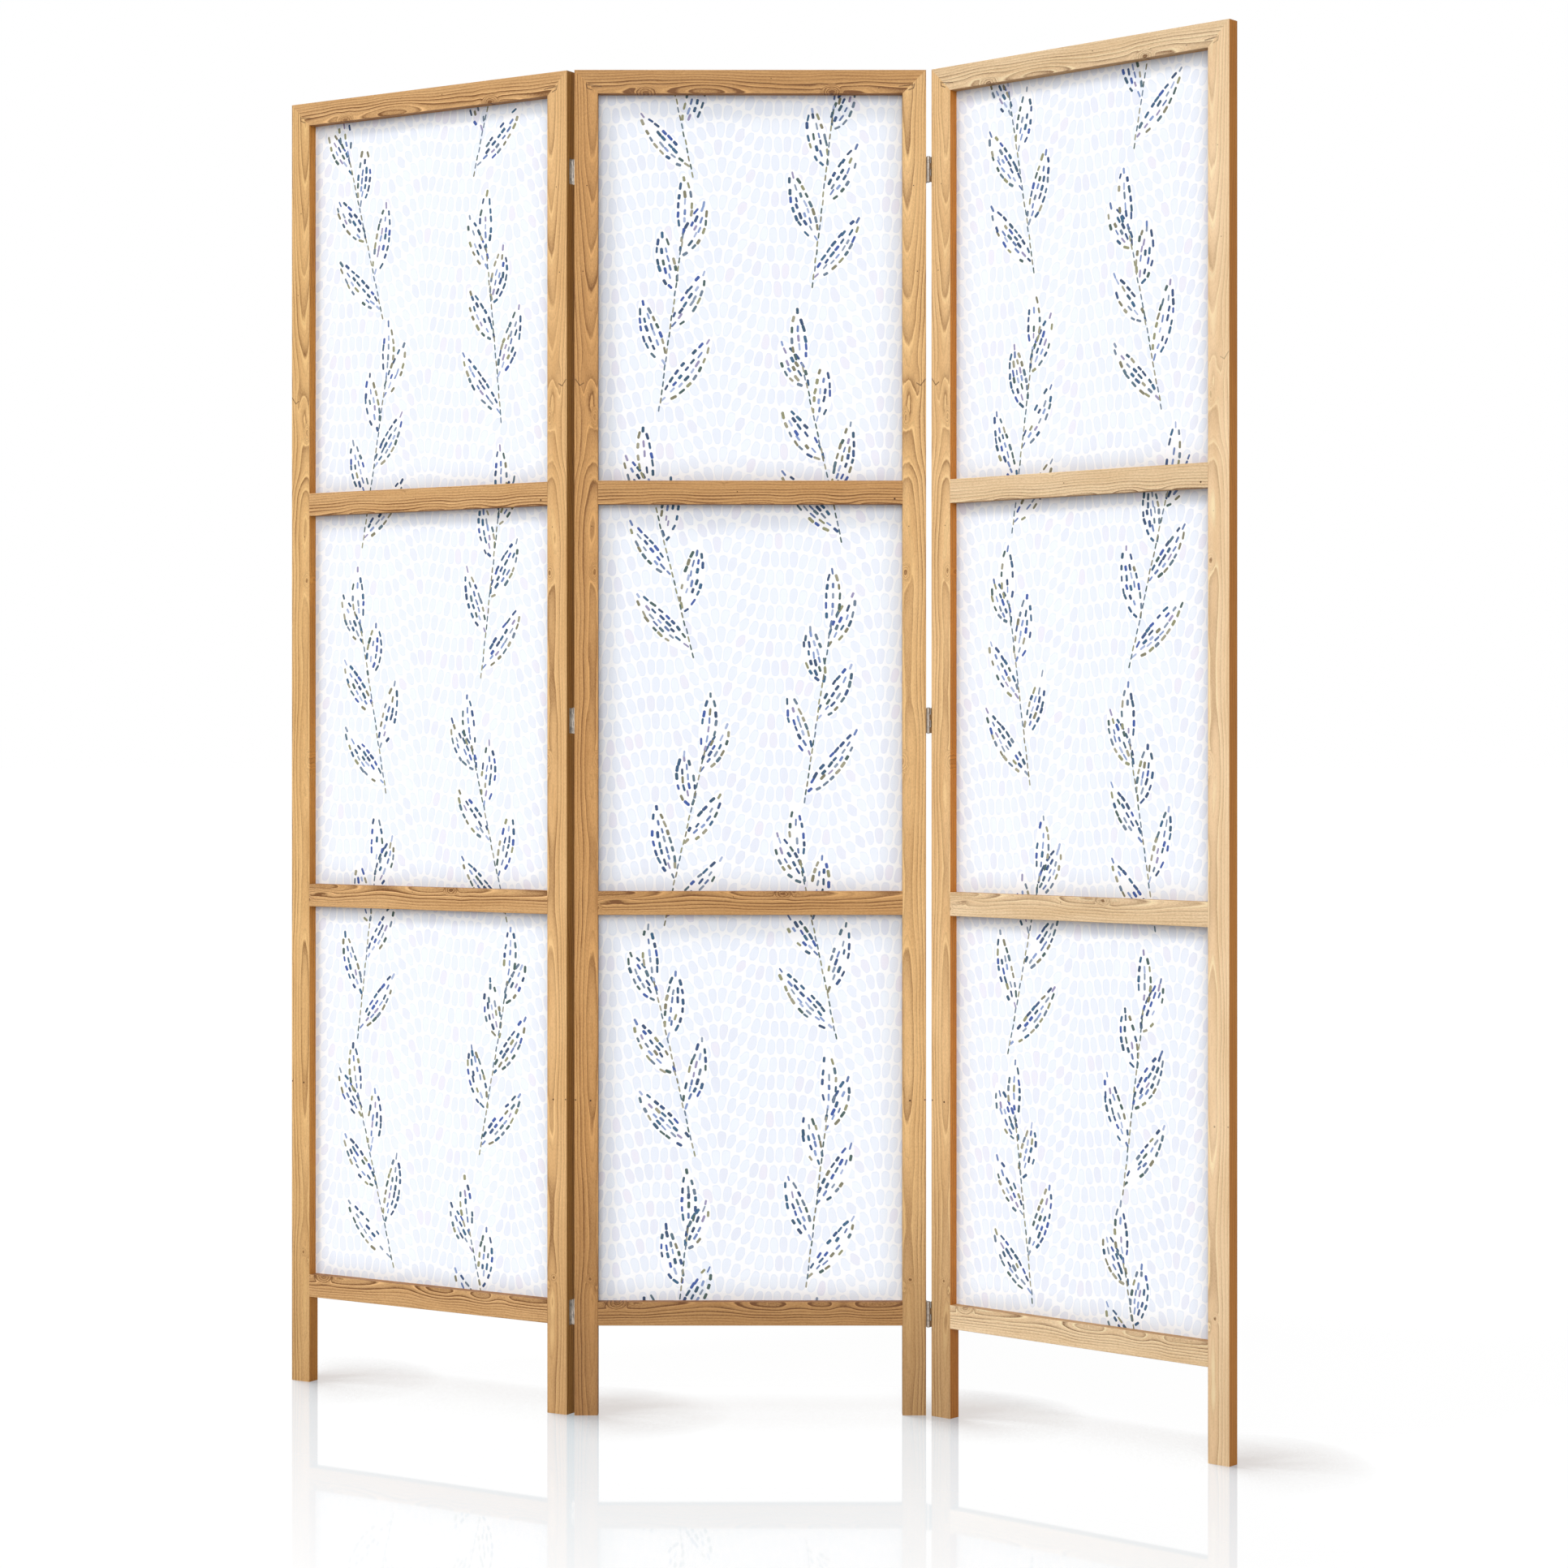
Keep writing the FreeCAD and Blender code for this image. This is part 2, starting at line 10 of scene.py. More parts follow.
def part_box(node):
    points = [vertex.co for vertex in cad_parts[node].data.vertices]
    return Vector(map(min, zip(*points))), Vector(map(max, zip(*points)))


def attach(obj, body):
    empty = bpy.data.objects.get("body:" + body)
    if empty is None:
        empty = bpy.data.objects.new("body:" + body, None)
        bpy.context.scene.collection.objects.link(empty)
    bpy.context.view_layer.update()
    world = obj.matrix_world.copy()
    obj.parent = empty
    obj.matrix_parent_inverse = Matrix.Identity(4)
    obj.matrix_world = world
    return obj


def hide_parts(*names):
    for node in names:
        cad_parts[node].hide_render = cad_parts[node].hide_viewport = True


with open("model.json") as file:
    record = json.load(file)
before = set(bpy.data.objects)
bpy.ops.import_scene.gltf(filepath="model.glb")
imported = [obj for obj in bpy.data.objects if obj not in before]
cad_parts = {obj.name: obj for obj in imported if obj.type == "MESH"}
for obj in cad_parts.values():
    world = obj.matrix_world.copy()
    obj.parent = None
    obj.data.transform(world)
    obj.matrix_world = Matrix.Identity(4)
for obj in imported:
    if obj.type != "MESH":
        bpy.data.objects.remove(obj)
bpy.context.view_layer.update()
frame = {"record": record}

# Folding screen: three pine frames with a printed canvas in each, on a white studio floor.
# Everything is in metres in the frame of the CAD model. Each panel also has its own frame, in
# millimetres: X across from its left edge, Y back from its front face, Z up from the floor.

MM = 0.001
PANELS = ("left_panel", "centre_panel", "right_panel")
TIMBERS = ("left_stile", "right_stile", "top_rail", "upper_rail", "lower_rail", "bottom_rail")
BEADS = ("left_bead", "right_bead", "top_bead", "bottom_bead")
HINGES = ("bottom", "middle", "top")


def panel_frames():
    """Place and turn of each panel's own frame, read from its two feet."""
    stile_low, stile_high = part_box("centre_panel_left_stile")
    half_width = (stile_high[0] - stile_low[0]) / 2
    half_depth = (stile_high[1] - stile_low[1]) / 2
    feet = {mount["name"]: Vector(mount["pos_m"]) for mount in frame["record"]["mounts"]}
    frames = {}
    for panel in PANELS:
        left = feet[panel + "_left_foot"]
        across = (feet[panel + "_right_foot"] - left).normalized()
        back = Vector((-across.y, across.x, 0))
        corner = left - across * half_width - back * half_depth
        turn = math.atan2(across.y, across.x)
        frames[panel] = (corner, turn)
    return frames


def local_box(node):
    """A node's box in its panel's frame, from the centre panel's piece of the same name."""
    corner = FRAMES["centre_panel"][0]
    low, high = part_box("centre_panel_" + node)
    return (Vector(low) - corner) / MM, (Vector(high) - corner) / MM


FRAMES = panel_frames()
STILE_LOW, STILE_HIGH = local_box("left_stile")
FRAME_DEPTH = STILE_HIGH.y - STILE_LOW.y
PANEL_HEIGHT = round(STILE_HIGH.z)
PANEL_WIDTH = round(local_box("right_stile")[1].x)

# A Mix node's sockets for colours, and the vector operations that give a plain number.
MIX_FIRST = 6
MIX_SECOND = 7
MIX_RESULT = 2
NUMBER_OPERATIONS = ("LENGTH", "DISTANCE", "DOT_PRODUCT")


class Graph:
    """Short forms for building the node tree of a material, or of the world."""

    def __init__(self, name, kind=bpy.data.materials):
        self.owner = kind.new(name)
        self.owner.use_nodes = True
        self.tree = self.owner.node_tree
        self.shader = self.tree.nodes.get("Principled BSDF")

    def node(self, kind, **settings):
        made = self.tree.nodes.new("ShaderNode" + kind)
        for key, setting in settings.items():
            setattr(made, key, setting)
        return made

    def feed(self, socket, source):
        """Link a socket, or set it where the source is a plain value."""
        if isinstance(source, bpy.types.NodeSocket):
            self.tree.links.new(source, socket)
        else:
            socket.default_value = source

    def fill(self, made, **sources):
        """Feed a node's inputs, by their names with an underscore for each space."""
        for key, source in sources.items():
            self.feed(made.inputs[key.replace("_", " ")], source)
        return made

    def math(self, operation, *sources, clamp=False):
        made = self.node("Math", operation=operation, use_clamp=clamp)
        for socket, source in zip(made.inputs, sources):
            self.feed(socket, source)
        return made.outputs[0]

    def plus(self, first, second, clamp=False):
        return self.math("ADD", first, second, clamp=clamp)

    def minus(self, first, second):
        return self.math("SUBTRACT", first, second)

    def times(self, first, second, clamp=False):
        return self.math("MULTIPLY", first, second, clamp=clamp)

    def centred(self, share, reach):
        """A share from 0 to 1 as a number up to half a reach below or above zero."""
        return self.times(self.minus(share, 0.5), reach)

    def vector(self, operation, *sources, scale=None):
        """Vector arithmetic; a length, a distance or a dot product comes out as a number."""
        made = self.node("VectorMath", operation=operation)
        for socket, source in zip(made.inputs, sources):
            self.feed(socket, source)
        if scale is not None:
            self.feed(made.inputs["Scale"], scale)
        return made.outputs["Value" if operation in NUMBER_OPERATIONS else "Vector"]

    def combine(self, x, y, z=0.0):
        made = self.node("CombineXYZ")
        for socket, source in zip(made.inputs, (x, y, z)):
            self.feed(socket, source)
        return made.outputs[0]

    def chance(self, source, dimensions="1D"):
        """A number from 0 to 1 that only changes where its source does."""
        made = self.node("TexWhiteNoise", noise_dimensions=dimensions)
        self.feed(made.inputs["W" if dimensions == "1D" else "Vector"], source)
        return made.outputs["Value"]

    def noise(self, vector, scale=1.0, detail=2.0, roughness=0.5):
        made = self.node("TexNoise")
        self.fill(made, Vector=vector, Scale=scale, Detail=detail, Roughness=roughness)
        return made.outputs["Fac"]

    def curve(self, source, points, reach):
        """A smooth line through points, each a place from 0 to reach and a value from 0 to 1."""
        made = self.node("FloatCurve")
        line = made.mapping.curves[0]
        for place, value in points[1:-1]:
            line.points.new(place / reach, value)
        line.points[0].location = (points[0][0] / reach, points[0][1])
        line.points[-1].location = (points[-1][0] / reach, points[-1][1])
        made.mapping.update()
        self.feed(made.inputs["Value"], self.math("DIVIDE", source, reach))
        return made.outputs[0]

    def remap(self, source, low, high, new_low=0.0, new_high=1.0, smooth=False):
        made = self.node("MapRange", clamp=True)
        made.interpolation_type = "SMOOTHSTEP" if smooth else "LINEAR"
        self.fill(made, Value=source, From_Min=low, From_Max=high, To_Min=new_low, To_Max=new_high)
        return made.outputs["Result"]

    def mix(self, factor, first, second, blend="MIX"):
        made = self.node("Mix", data_type="RGBA", blend_type=blend)
        self.feed(made.inputs["Factor"], factor)
        self.feed(made.inputs[MIX_FIRST], first)
        self.feed(made.inputs[MIX_SECOND], second)
        return made.outputs[MIX_RESULT]

    def bump(self, height, strength, depth):
        """Fine relief on the shader, with its depth in millimetres."""
        made = self.fill(self.node("Bump"), Height=height, Strength=strength, Distance=depth * MM)
        self.fill(self.shader, Normal=made.outputs[0])

    def place(self):
        """Coordinates in the frame of the CAD model."""
        return self.node("TexCoord").outputs["Object"]

    def split(self, vector):
        made = self.node("SeparateXYZ")
        self.feed(made.inputs[0], vector)
        return made.outputs[0], made.outputs[1], made.outputs[2]

    def panel_place(self, panel):
        """Coordinates in a panel's own frame."""
        corner, turn = FRAMES[panel]
        mapping = self.node("Mapping", vector_type="TEXTURE")
        self.fill(mapping, Vector=self.place(), Location=corner, Rotation=(0, 0, turn), Scale=(MM, MM, MM))
        return self.split(mapping.outputs[0])

    def by_ray(self, unseen, seen):
        """One look for the camera and for reflections, and another for all other light."""
        path = self.node("LightPath").outputs
        share = self.math("MAXIMUM", path["Is Camera Ray"], path["Is Glossy Ray"])
        share = self.math("MAXIMUM", share, path["Is Transmission Ray"])
        mixed = self.node("MixShader")
        for socket, source in zip(mixed.inputs, (share, unseen, seen)):
            self.feed(socket, source)
        return mixed.outputs[0]


def add_object(name, data):
    """A new object in the scene."""
    made = bpy.data.objects.new(name, data)
    bpy.context.scene.collection.objects.link(made)
    return made


def linear(text):
    """A display colour such as d9ab72 as the linear colour that a shader takes."""
    channels = [int(text[i:i + 2], 16) / 255 for i in (0, 2, 4)]
    return tuple(c / 12.92 if c <= 0.04045 else ((c + 0.055) / 1.055) ** 2.4 for c in channels) + (1.0,)


def scaled(colour, factors):
    """A linear colour with its three channels multiplied, none past white."""
    return tuple(min(channel * factor, 1) for channel, factor in zip(colour, factors)) + (1,)


# Knots and burls of each timber, in millimetres: across the panel, height, half length
# along the grain, half width, rings pushed aside, own rings, and darkness of the heart.
KNOTS = {
    "left_stile": [
        (22, 1290, 26, 5.5, 1.4, 0, 0.0), (26, 1268, 13, 4.5, 0.8, 3, 0.35),
        (10, 1312, 22, 4, -0.8, 0, 0.0), (25, 1088, 46, 9, 0.9, 0, 0.0),
        (26, 1072, 12, 7, 0.6, 3.4, 0.8), (28, 846, 56, 10, 0.9, 0, 0.0),
        (31, 831, 15, 10, 0.6, 3.4, 0.2), (20, 173, 6, 5.5, 0.6, 2.6, 1.0),
        (27, 162, 8, 3, 0.8, 0, 0.6)],
    "top_rail": [
        (94, 1684, 40, 9, 1.0, 0, 0.0), (91, 1681, 15, 8.5, 0.5, 3.6, 0.5),
        (330, 1685, 46, 11, 1.3, 0, 0.0), (327, 1682, 14, 9.5, 0.6, 4.2, 0.9)],
    "upper_rail": [(190, 1184, 7, 2.5, 0.8, 0, 0.4)],
    "lower_rail": [
        (30, 645, 5, 6, 0.6, 2.2, 1.0), (52, 655, 24, 4.5, 1.6, 0, 0.3),
        (262, 660, 40, 10, 0.9, 0, 0.0), (265, 663, 12, 8, 0.6, 3.6, 0.8)],
    "bottom_rail": [(56, 141, 42, 9, 0.8, 0, 0.0), (54, 143, 16, 10, 0.6, 3.6, 0.3)],
}
# Where a knot's own rings take over and where its heart is, as shares of its size.
KNOT_EDGE = (1.15, 0.75)
KNOT_HEART = (0.34, 0.10)

# How far the heart of the trunk lies behind the face: places along the timber and depths.
HEARTS = {
    "left_stile": [
        (0, 15.5), (140, 14), (250, 16.5), (330, 14.5), (430, 12), (490, 11.5), (548, 12), (690, 16),
        (831, 13), (930, 16), (1072, 15), (1180, 19), (1255, 26), (1330, 25), (1421, 20), (1476, 17),
        (1535, 13.5), (1628, 9), (PANEL_HEIGHT, 6)],
    "top_rail": [
        (0, 12), (50, 10), (91, 5), (118, 7.5), (165, 5), (240, 11), (295, 9), (327, 4), (360, 6.5),
        (400, 11), (PANEL_WIDTH, 12)],
    "upper_rail": [
        (0, 10), (80, 8), (115, 4), (175, 8), (240, 4), (270, 7), (300, 4), (340, 9), (380, 4.5),
        (PANEL_WIDTH, 10)],
    "lower_rail": [
        (0, 9), (50, 5), (100, 9), (160, 12), (235, 5), (265, 3.5), (305, 8), (380, 12),
        (PANEL_WIDTH, 13)],
    "bottom_rail": [
        (0, 10), (54, 4), (120, 8), (185, 11), (250, 4.5), (282, 7.5), (315, 4.5), (342, 8),
        (370, 4.5), (PANEL_WIDTH, 10)],
}
HEART_REACH = 40
# How far the heart lies from a bead, to the side of its edge and in depth.
BEAD_ASIDE = 9
BEAD_DEPTH = 16.0

# The line that the heart follows across each timber, and the width of a year's ring.
MIDDLES = {"left_stile": 23, "top_rail": 1682, "upper_rail": 1155, "lower_rail": 664, "bottom_rail": 143}
RING_WIDTH = {"stile": 3.4, "rail": 3.3, "bead": 2.2}

# Short dark strokes beside the knots and where lines of the top rail turn into the mitre,
# and specks, each with its radius, as places in the panel's front view.
STROKES = [((15, 1692), (16, 1687)), ((16, 1687), (22, 1684.5)), ((17, 1691), (34, 1689)),
           ((1, 1317), (7, 1309)), ((7, 1309), (12, 1312))]
STROKE_HALF_WIDTH = 1.05
STROKE_DARKNESS = 0.75
SPECKS = {
    "left_stile": [(20.5, 400, 1.5), (1.5, 401, 1.2), (16, 1563, 0.9), (11, 1454, 0.9), (22, 1130, 0.8)],
    "upper_rail": [(407, 1165, 1.5), (207, 1174, 0.8)],
    "lower_rail": [(202, 659, 0.8)],
    "top_rail": [(250, 1699, 0.8), (387, 1687, 0.8)],
}
# The darkest part of a stroke and of a speck, as shares of their widths.
STROKE_CORE = 0.2
SPECK_CORE = 0.6

# The right stile is the left stile's mirror image.
KNOTS["right_stile"] = [(PANEL_WIDTH - x, *rest) for x, *rest in KNOTS["left_stile"]]
HEARTS["right_stile"] = HEARTS["left_stile"]
MIDDLES["right_stile"] = PANEL_WIDTH - MIDDLES["left_stile"]
STROKES += [tuple((PANEL_WIDTH - x, z) for x, z in stroke) for stroke in STROKES]
SPECKS["right_stile"] = [(PANEL_WIDTH - x, z, size) for x, z, size in SPECKS["left_stile"]]

# Light wood of each timber's front, as a display colour: left stile, right stile, the rest.
TONES = {
    "left_panel": ("f1c588", "efc38a", "e7bb84"),
    "centre_panel": ("d9a668", "eec489", "d6a76c"),
    "right_panel": ("f3cb95", "f9dab1", "f7dcb4"),
}
# How strongly each timber is figured: left stile, right stile, the rest.
FIGURES = {
    "left_panel": (0.95, 0.75, 1.4),
    "centre_panel": (1.25, 0.9, 1.7),
    "right_panel": (0.80, 0.42, 0.9),
}
# Painted shade towards the floor, as the share of light kept at the lower end: left stile, right stile, the
# rest.
PAINTED_FOOT_SHADES = {
    "left_panel": (0.74, 0.77, 0.90),
    "centre_panel": (0.60, 0.56, 0.70),
    "right_panel": (0.60, 0.86, 1.0),
}
PAINTED_FOOT_SHADE_TOP = 420.0
# The faces turned sideways get a painted shade, darker and a deeper orange than the front, by a factor for
# each channel.
PAINTED_SIDE_SHADES = {
    "left_panel": (0.57, 0.48, 0.30),
    "centre_panel": (0.62, 0.55, 0.38),
    "right_panel": (0.75, 0.42, 0.12),
    "left_panel_left_stile": (0.78, 0.53, 0.20),
    "right_panel_right_stile": (0.62, 0.33, 0.088),
}
PAINTED_RAIL_SIDE_SHADE = (0.66, 0.52, 0.36)

# Slow drifts of the wood: scales across and along the grain, shift, and reach.
DEPTH_DRIFT = (0.012, 0.010, 40.0, 4.0)
SIDE_DRIFT = (0.02, 0.006, 0.0, 9.0)
SIDE_WAVE = (0.06, 0.008, 7.3, 3.0)
RING_WAVE = (0.3, 0.02, 5.1, 0.22)
KNOT_DRIFTS = ((0.16, 0.05, 11.0, 3.5), (0.12, 0.05, 17.0, 5.0))
STROKE_DRIFTS = ((0.7, 0.5, 61.0, 1.4), (0.7, 0.5, 67.0, 1.6))

# Textures drawn out along the grain: scales across and along it, and shift.
PATCHES = (0.06, 0.012, 19.0)
CRUMBS = (0.9, 0.35, 23.0)
FIBRES = (1.9, 0.07, 3.0)
GRIT = (0.75, 0.30, 51.0)
CLOUDS = (0.05, 0.006, 31.0)

# Dark lines of late wood. Two numbers are a range. Four are a range and what it turns into.
LINE_RISE = (0.25, 0.88)
LINE_END = (0.92, 0.99, 1.0, 0.0)
LINE_STRENGTHS = (0.0, 1.0, 0.50, 1.15)
LINE_PATCHES = (0.36, 0.60, 0.55, 1.0)
LINE_CRUMBS = (0.35, 0.62, 0.6, 1.1)
LINE_COVER = 0.9
RAIL_FIGURE = (26.0, 12.0, 0.45, 1.5)
THIN_LINES = 3.3
THIN_SHARPNESS = 4.0
THIN_DARKNESS = 0.26
CORE_RANGE = (9.0, 3.0)
CORE_STREAKS = (0.40, 0.60, 0.15, 0.60)
HEART_BREAKS = (0.35, 0.6, 0.6, 1.25)
PALE_EDGE = (0.22, 0.03)
PALE_STRENGTH = 0.45
PALE_FACTORS = (1.25, 1.25, 1.25)

# Light wood between the lines, with clouds, fibres and grit over it.
CLOUD_RANGE = (0.32, 0.68)
CLOUD_FACTORS = (0.86, 0.81, 0.74)
FIBRE_RANGE = (0.38, 0.70)
FIBRE_COVER = 0.38
GRIT_RANGE = (0.44, 0.66)
GRIT_COVER = 0.32
FLECKED_MOST = 1.25
FIBRE_COLOUR = "a06d37"
GRIT_COLOUR = "96642f"
# Colours of lines and marks, faces turned sideways, the painted shade towards the floor, and the surface.
LINE_COLOURS = {"rail": "64380f", "stile": "704315", "bead": "704315"}
MARK_COLOUR = "3f1f04"
MARK_STRENGTH = 1.25
SIDEWAYS_RANGE = (0.25, 0.8)
SIDEWAYS_FOOT_SHADE = 0.5
FOOT_SHADE_POWERS = (1.1, 1.2)
WOOD_ROUGHNESS = (0.3, 0.7, 0.50, 0.64)
WOOD_RELIEF = 0.22


class Grain(Graph):
    """The node tree of one timber, with its directions along and across the grain."""

    def __init__(self, name, panel, timber, seed):
        super().__init__(name)
        self.panel = panel
        self.timber = timber
        self.seed = seed
        self.upright = timber.endswith("stile") or timber in ("left_bead", "right_bead")
        self.kind = "bead" if timber.endswith("bead") else "stile" if self.upright else "rail"
        self.part = {"left_stile": 0, "right_stile": 1}.get(timber, 2)
        self.x, self.depth, self.z = self.panel_place(panel)
        self.along, self.across = (self.z, self.x) if self.upright else (self.x, self.z)

    def stretched(self, across_scale, along_scale, shift):
        """Coordinates for a texture that is drawn out along the grain."""
        return self.combine(self.times(self.across, across_scale),
                            self.times(self.depth, across_scale),
                            self.math("MULTIPLY_ADD", self.along, along_scale, self.seed + shift))

    def wander(self, across_scale, along_scale, shift, reach):
        """A slow drift to either side."""
        return self.centred(self.noise(self.stretched(across_scale, along_scale, shift)), reach)

    def blurred_spot(self, drifts):
        """The place in the panel's front view, with a drift across it and one up it."""
        return self.combine(self.plus(self.x, self.wander(*drifts[0])),
                            self.plus(self.z, self.wander(*drifts[1])))


def heart_radius(grain):
    """Distance from the trunk's heart, which nears the face and leaves it again."""
    if grain.kind == "bead":
        low = local_box(grain.timber)[0]
        middle = (low.x if grain.upright else low.z) - BEAD_ASIDE
        deep = BEAD_DEPTH
    else:
        middle = MIDDLES[grain.timber]
        points = [(place, depth / HEART_REACH) for place, depth in HEARTS[grain.timber]]
        line = grain.curve(grain.along, points, PANEL_HEIGHT if grain.upright else PANEL_WIDTH)
        deep = grain.times(line, HEART_REACH)
    deep = grain.plus(grain.plus(deep, grain.depth), grain.wander(*DEPTH_DRIFT))
    side = grain.plus(grain.minus(grain.across, middle), grain.wander(*SIDE_DRIFT))
    side = grain.plus(side, grain.wander(*SIDE_WAVE))
    return grain.math("SQRT", grain.math("MULTIPLY_ADD", side, side, grain.times(deep, deep)))


def knot(grain, spot, place, rings):
    """Rings bent round one knot, with its own rings inside it, and how dark its heart is."""
    x, z, half_length, half_width, push, own, darkness = place
    reach = (half_width, half_length) if grain.upright else (half_length, half_width)
    offset = grain.vector("SUBTRACT", spot, (x, z, 0))
    shares = grain.vector("MULTIPLY", offset, (1 / reach[0], 1 / reach[1], 0))
    away = grain.vector("LENGTH", shares)
    swell = grain.math("EXPONENT", grain.times(grain.times(away, away), -1.0))
    rings = grain.math("MULTIPLY_ADD", swell, push, rings)
    if own:
        inside = grain.remap(away, *KNOT_EDGE, smooth=True)
        apart = grain.minus(grain.times(away, own), rings)
        rings = grain.math("MULTIPLY_ADD", inside, apart, rings)
    heart = grain.times(grain.remap(away, *KNOT_HEART), darkness) if darkness else None
    return rings, heart


def bent_rings(grain, radius):
    """Growth rings with every knot among them, and the hearts of the knots."""
    rings = grain.math("DIVIDE", radius, RING_WIDTH[grain.kind])
    rings = grain.plus(rings, grain.wander(*RING_WAVE))
    spot = grain.blurred_spot(KNOT_DRIFTS)
    hearts = []
    for place in KNOTS.get(grain.timber, []):
        rings, heart = knot(grain, spot, place, rings)
        if heart is not None:
            hearts.append(heart)
    return rings, hearts


def stroke(grain, spot, start, end):
    """A short dark line between two points of the front view."""
    run = (end[0] - start[0], end[1] - start[1], 0)
    square = run[0] ** 2 + run[1] ** 2
    offset = grain.vector("SUBTRACT", spot, (start[0], start[1], 0))
    share = grain.math("DIVIDE", grain.vector("DOT_PRODUCT", offset, run), square, clamp=True)
    away = grain.vector("DISTANCE", offset, grain.vector("SCALE", run, scale=share))
    return grain.remap(away, STROKE_HALF_WIDTH, STROKE_HALF_WIDTH * STROKE_CORE, 0.0, STROKE_DARKNESS)


def speck(grain, spot, x, z, size):
    away = grain.vector("DISTANCE", spot, (x, z, 0))
    return grain.remap(away, size, size * SPECK_CORE)


def front_marks(grain):
    """All specks and strokes of a timber."""
    spot = grain.combine(grain.x, grain.z)
    marks = [speck(grain, spot, *place) for place in SPECKS.get(grain.timber, [])]
    if grain.timber in ("top_rail", "left_stile", "right_stile"):
        ragged = grain.blurred_spot(STROKE_DRIFTS)
        marks += [stroke(grain, ragged, *ends) for ends in STROKES]
    return marks


def line_strength(grain, rings, radius):
    """How strong each year's line is, which differs from year to year."""
    year = grain.plus(grain.math("FLOOR", rings), grain.seed)
    strength = grain.remap(grain.chance(year), *LINE_STRENGTHS)
    if grain.kind == "rail":
        # A rail is plain along its outer edge and figured near its heart.
        strength = grain.times(strength, grain.remap(radius, *RAIL_FIGURE))
    return strength


def late_wood(grain, rings, phase, radius, strength, crumbs):
    """Dark lines of late wood: each deepens slowly through its year and ends at once."""
    rise = grain.math("POWER", grain.remap(phase, *LINE_RISE), 2.0)
    late = grain.times(rise, grain.remap(phase, *LINE_END))
    patch = grain.remap(grain.noise(grain.stretched(*PATCHES)), *LINE_PATCHES)
    late = grain.times(late, grain.times(strength, patch))
    between = grain.math("FRACT", grain.times(rings, THIN_LINES))
    thin = grain.times(grain.math("POWER", between, THIN_SHARPNESS), THIN_DARKNESS)
    late = grain.math("MAXIMUM", late, thin)
    late = grain.times(late, grain.remap(crumbs, *LINE_CRUMBS))
    # Close to the heart the wood is darker, in long streaks.
    core = grain.times(grain.remap(radius, *CORE_RANGE), grain.remap(crumbs, *CORE_STREAKS))
    return grain.math("MAXIMUM", late, core)


def light_wood(grain, tone, figure, fibre):
    """The wood between the lines, with clouds, fibres and grit."""
    cloud = grain.noise(grain.stretched(*CLOUDS))
    grit = grain.noise(grain.stretched(*GRIT), detail=3.0, roughness=0.75)
    flecked = min(figure, FLECKED_MOST)
    base = grain.mix(grain.remap(cloud, *CLOUD_RANGE), tone, scaled(tone, CLOUD_FACTORS))
    cover = grain.remap(fibre, *FIBRE_RANGE, 0.0, FIBRE_COVER * flecked)
    base = grain.mix(cover, base, linear(FIBRE_COLOUR))
    cover = grain.remap(grit, *GRIT_RANGE, 0.0, GRIT_COVER * flecked)
    return grain.mix(cover, base, linear(GRIT_COLOUR))


def with_painted_shade(grain, colour):
    """Painted shade: deeper on the faces turned sideways, and darker towards the floor at the lower end."""
    inward = grain.math("MINIMUM", grain.depth, grain.minus(FRAME_DEPTH, grain.depth))
    sideways = grain.remap(inward, *SIDEWAYS_RANGE)
    # The faces turned sideways get a painted shade.
    if grain.kind != "bead":
        tint = PAINTED_RAIL_SIDE_SHADE
        if grain.kind == "stile":
            tint = PAINTED_SIDE_SHADES.get(grain.panel + "_" + grain.timber, PAINTED_SIDE_SHADES[grain.panel])
        colour = grain.mix(sideways, colour, grain.mix(1.0, colour, tint + (1,), "MULTIPLY"))
    # The lower end gets a painted shade that darkens towards the floor.
    foot_painted_shade = PAINTED_FOOT_SHADES[grain.panel][grain.part]
    painted_low_end = grain.remap(grain.z, 0.0, PAINTED_FOOT_SHADE_TOP, foot_painted_shade, 1.0, smooth=True)
    painted_low_end = grain.math("POWER", painted_low_end, grain.remap(sideways, 0.0, 1.0, 1.0, SIDEWAYS_FOOT_SHADE))
    shade = grain.combine(painted_low_end, *(grain.math("POWER", painted_low_end, power) for power in FOOT_SHADE_POWERS))
    return grain.mix(1.0, colour, shade, "MULTIPLY")


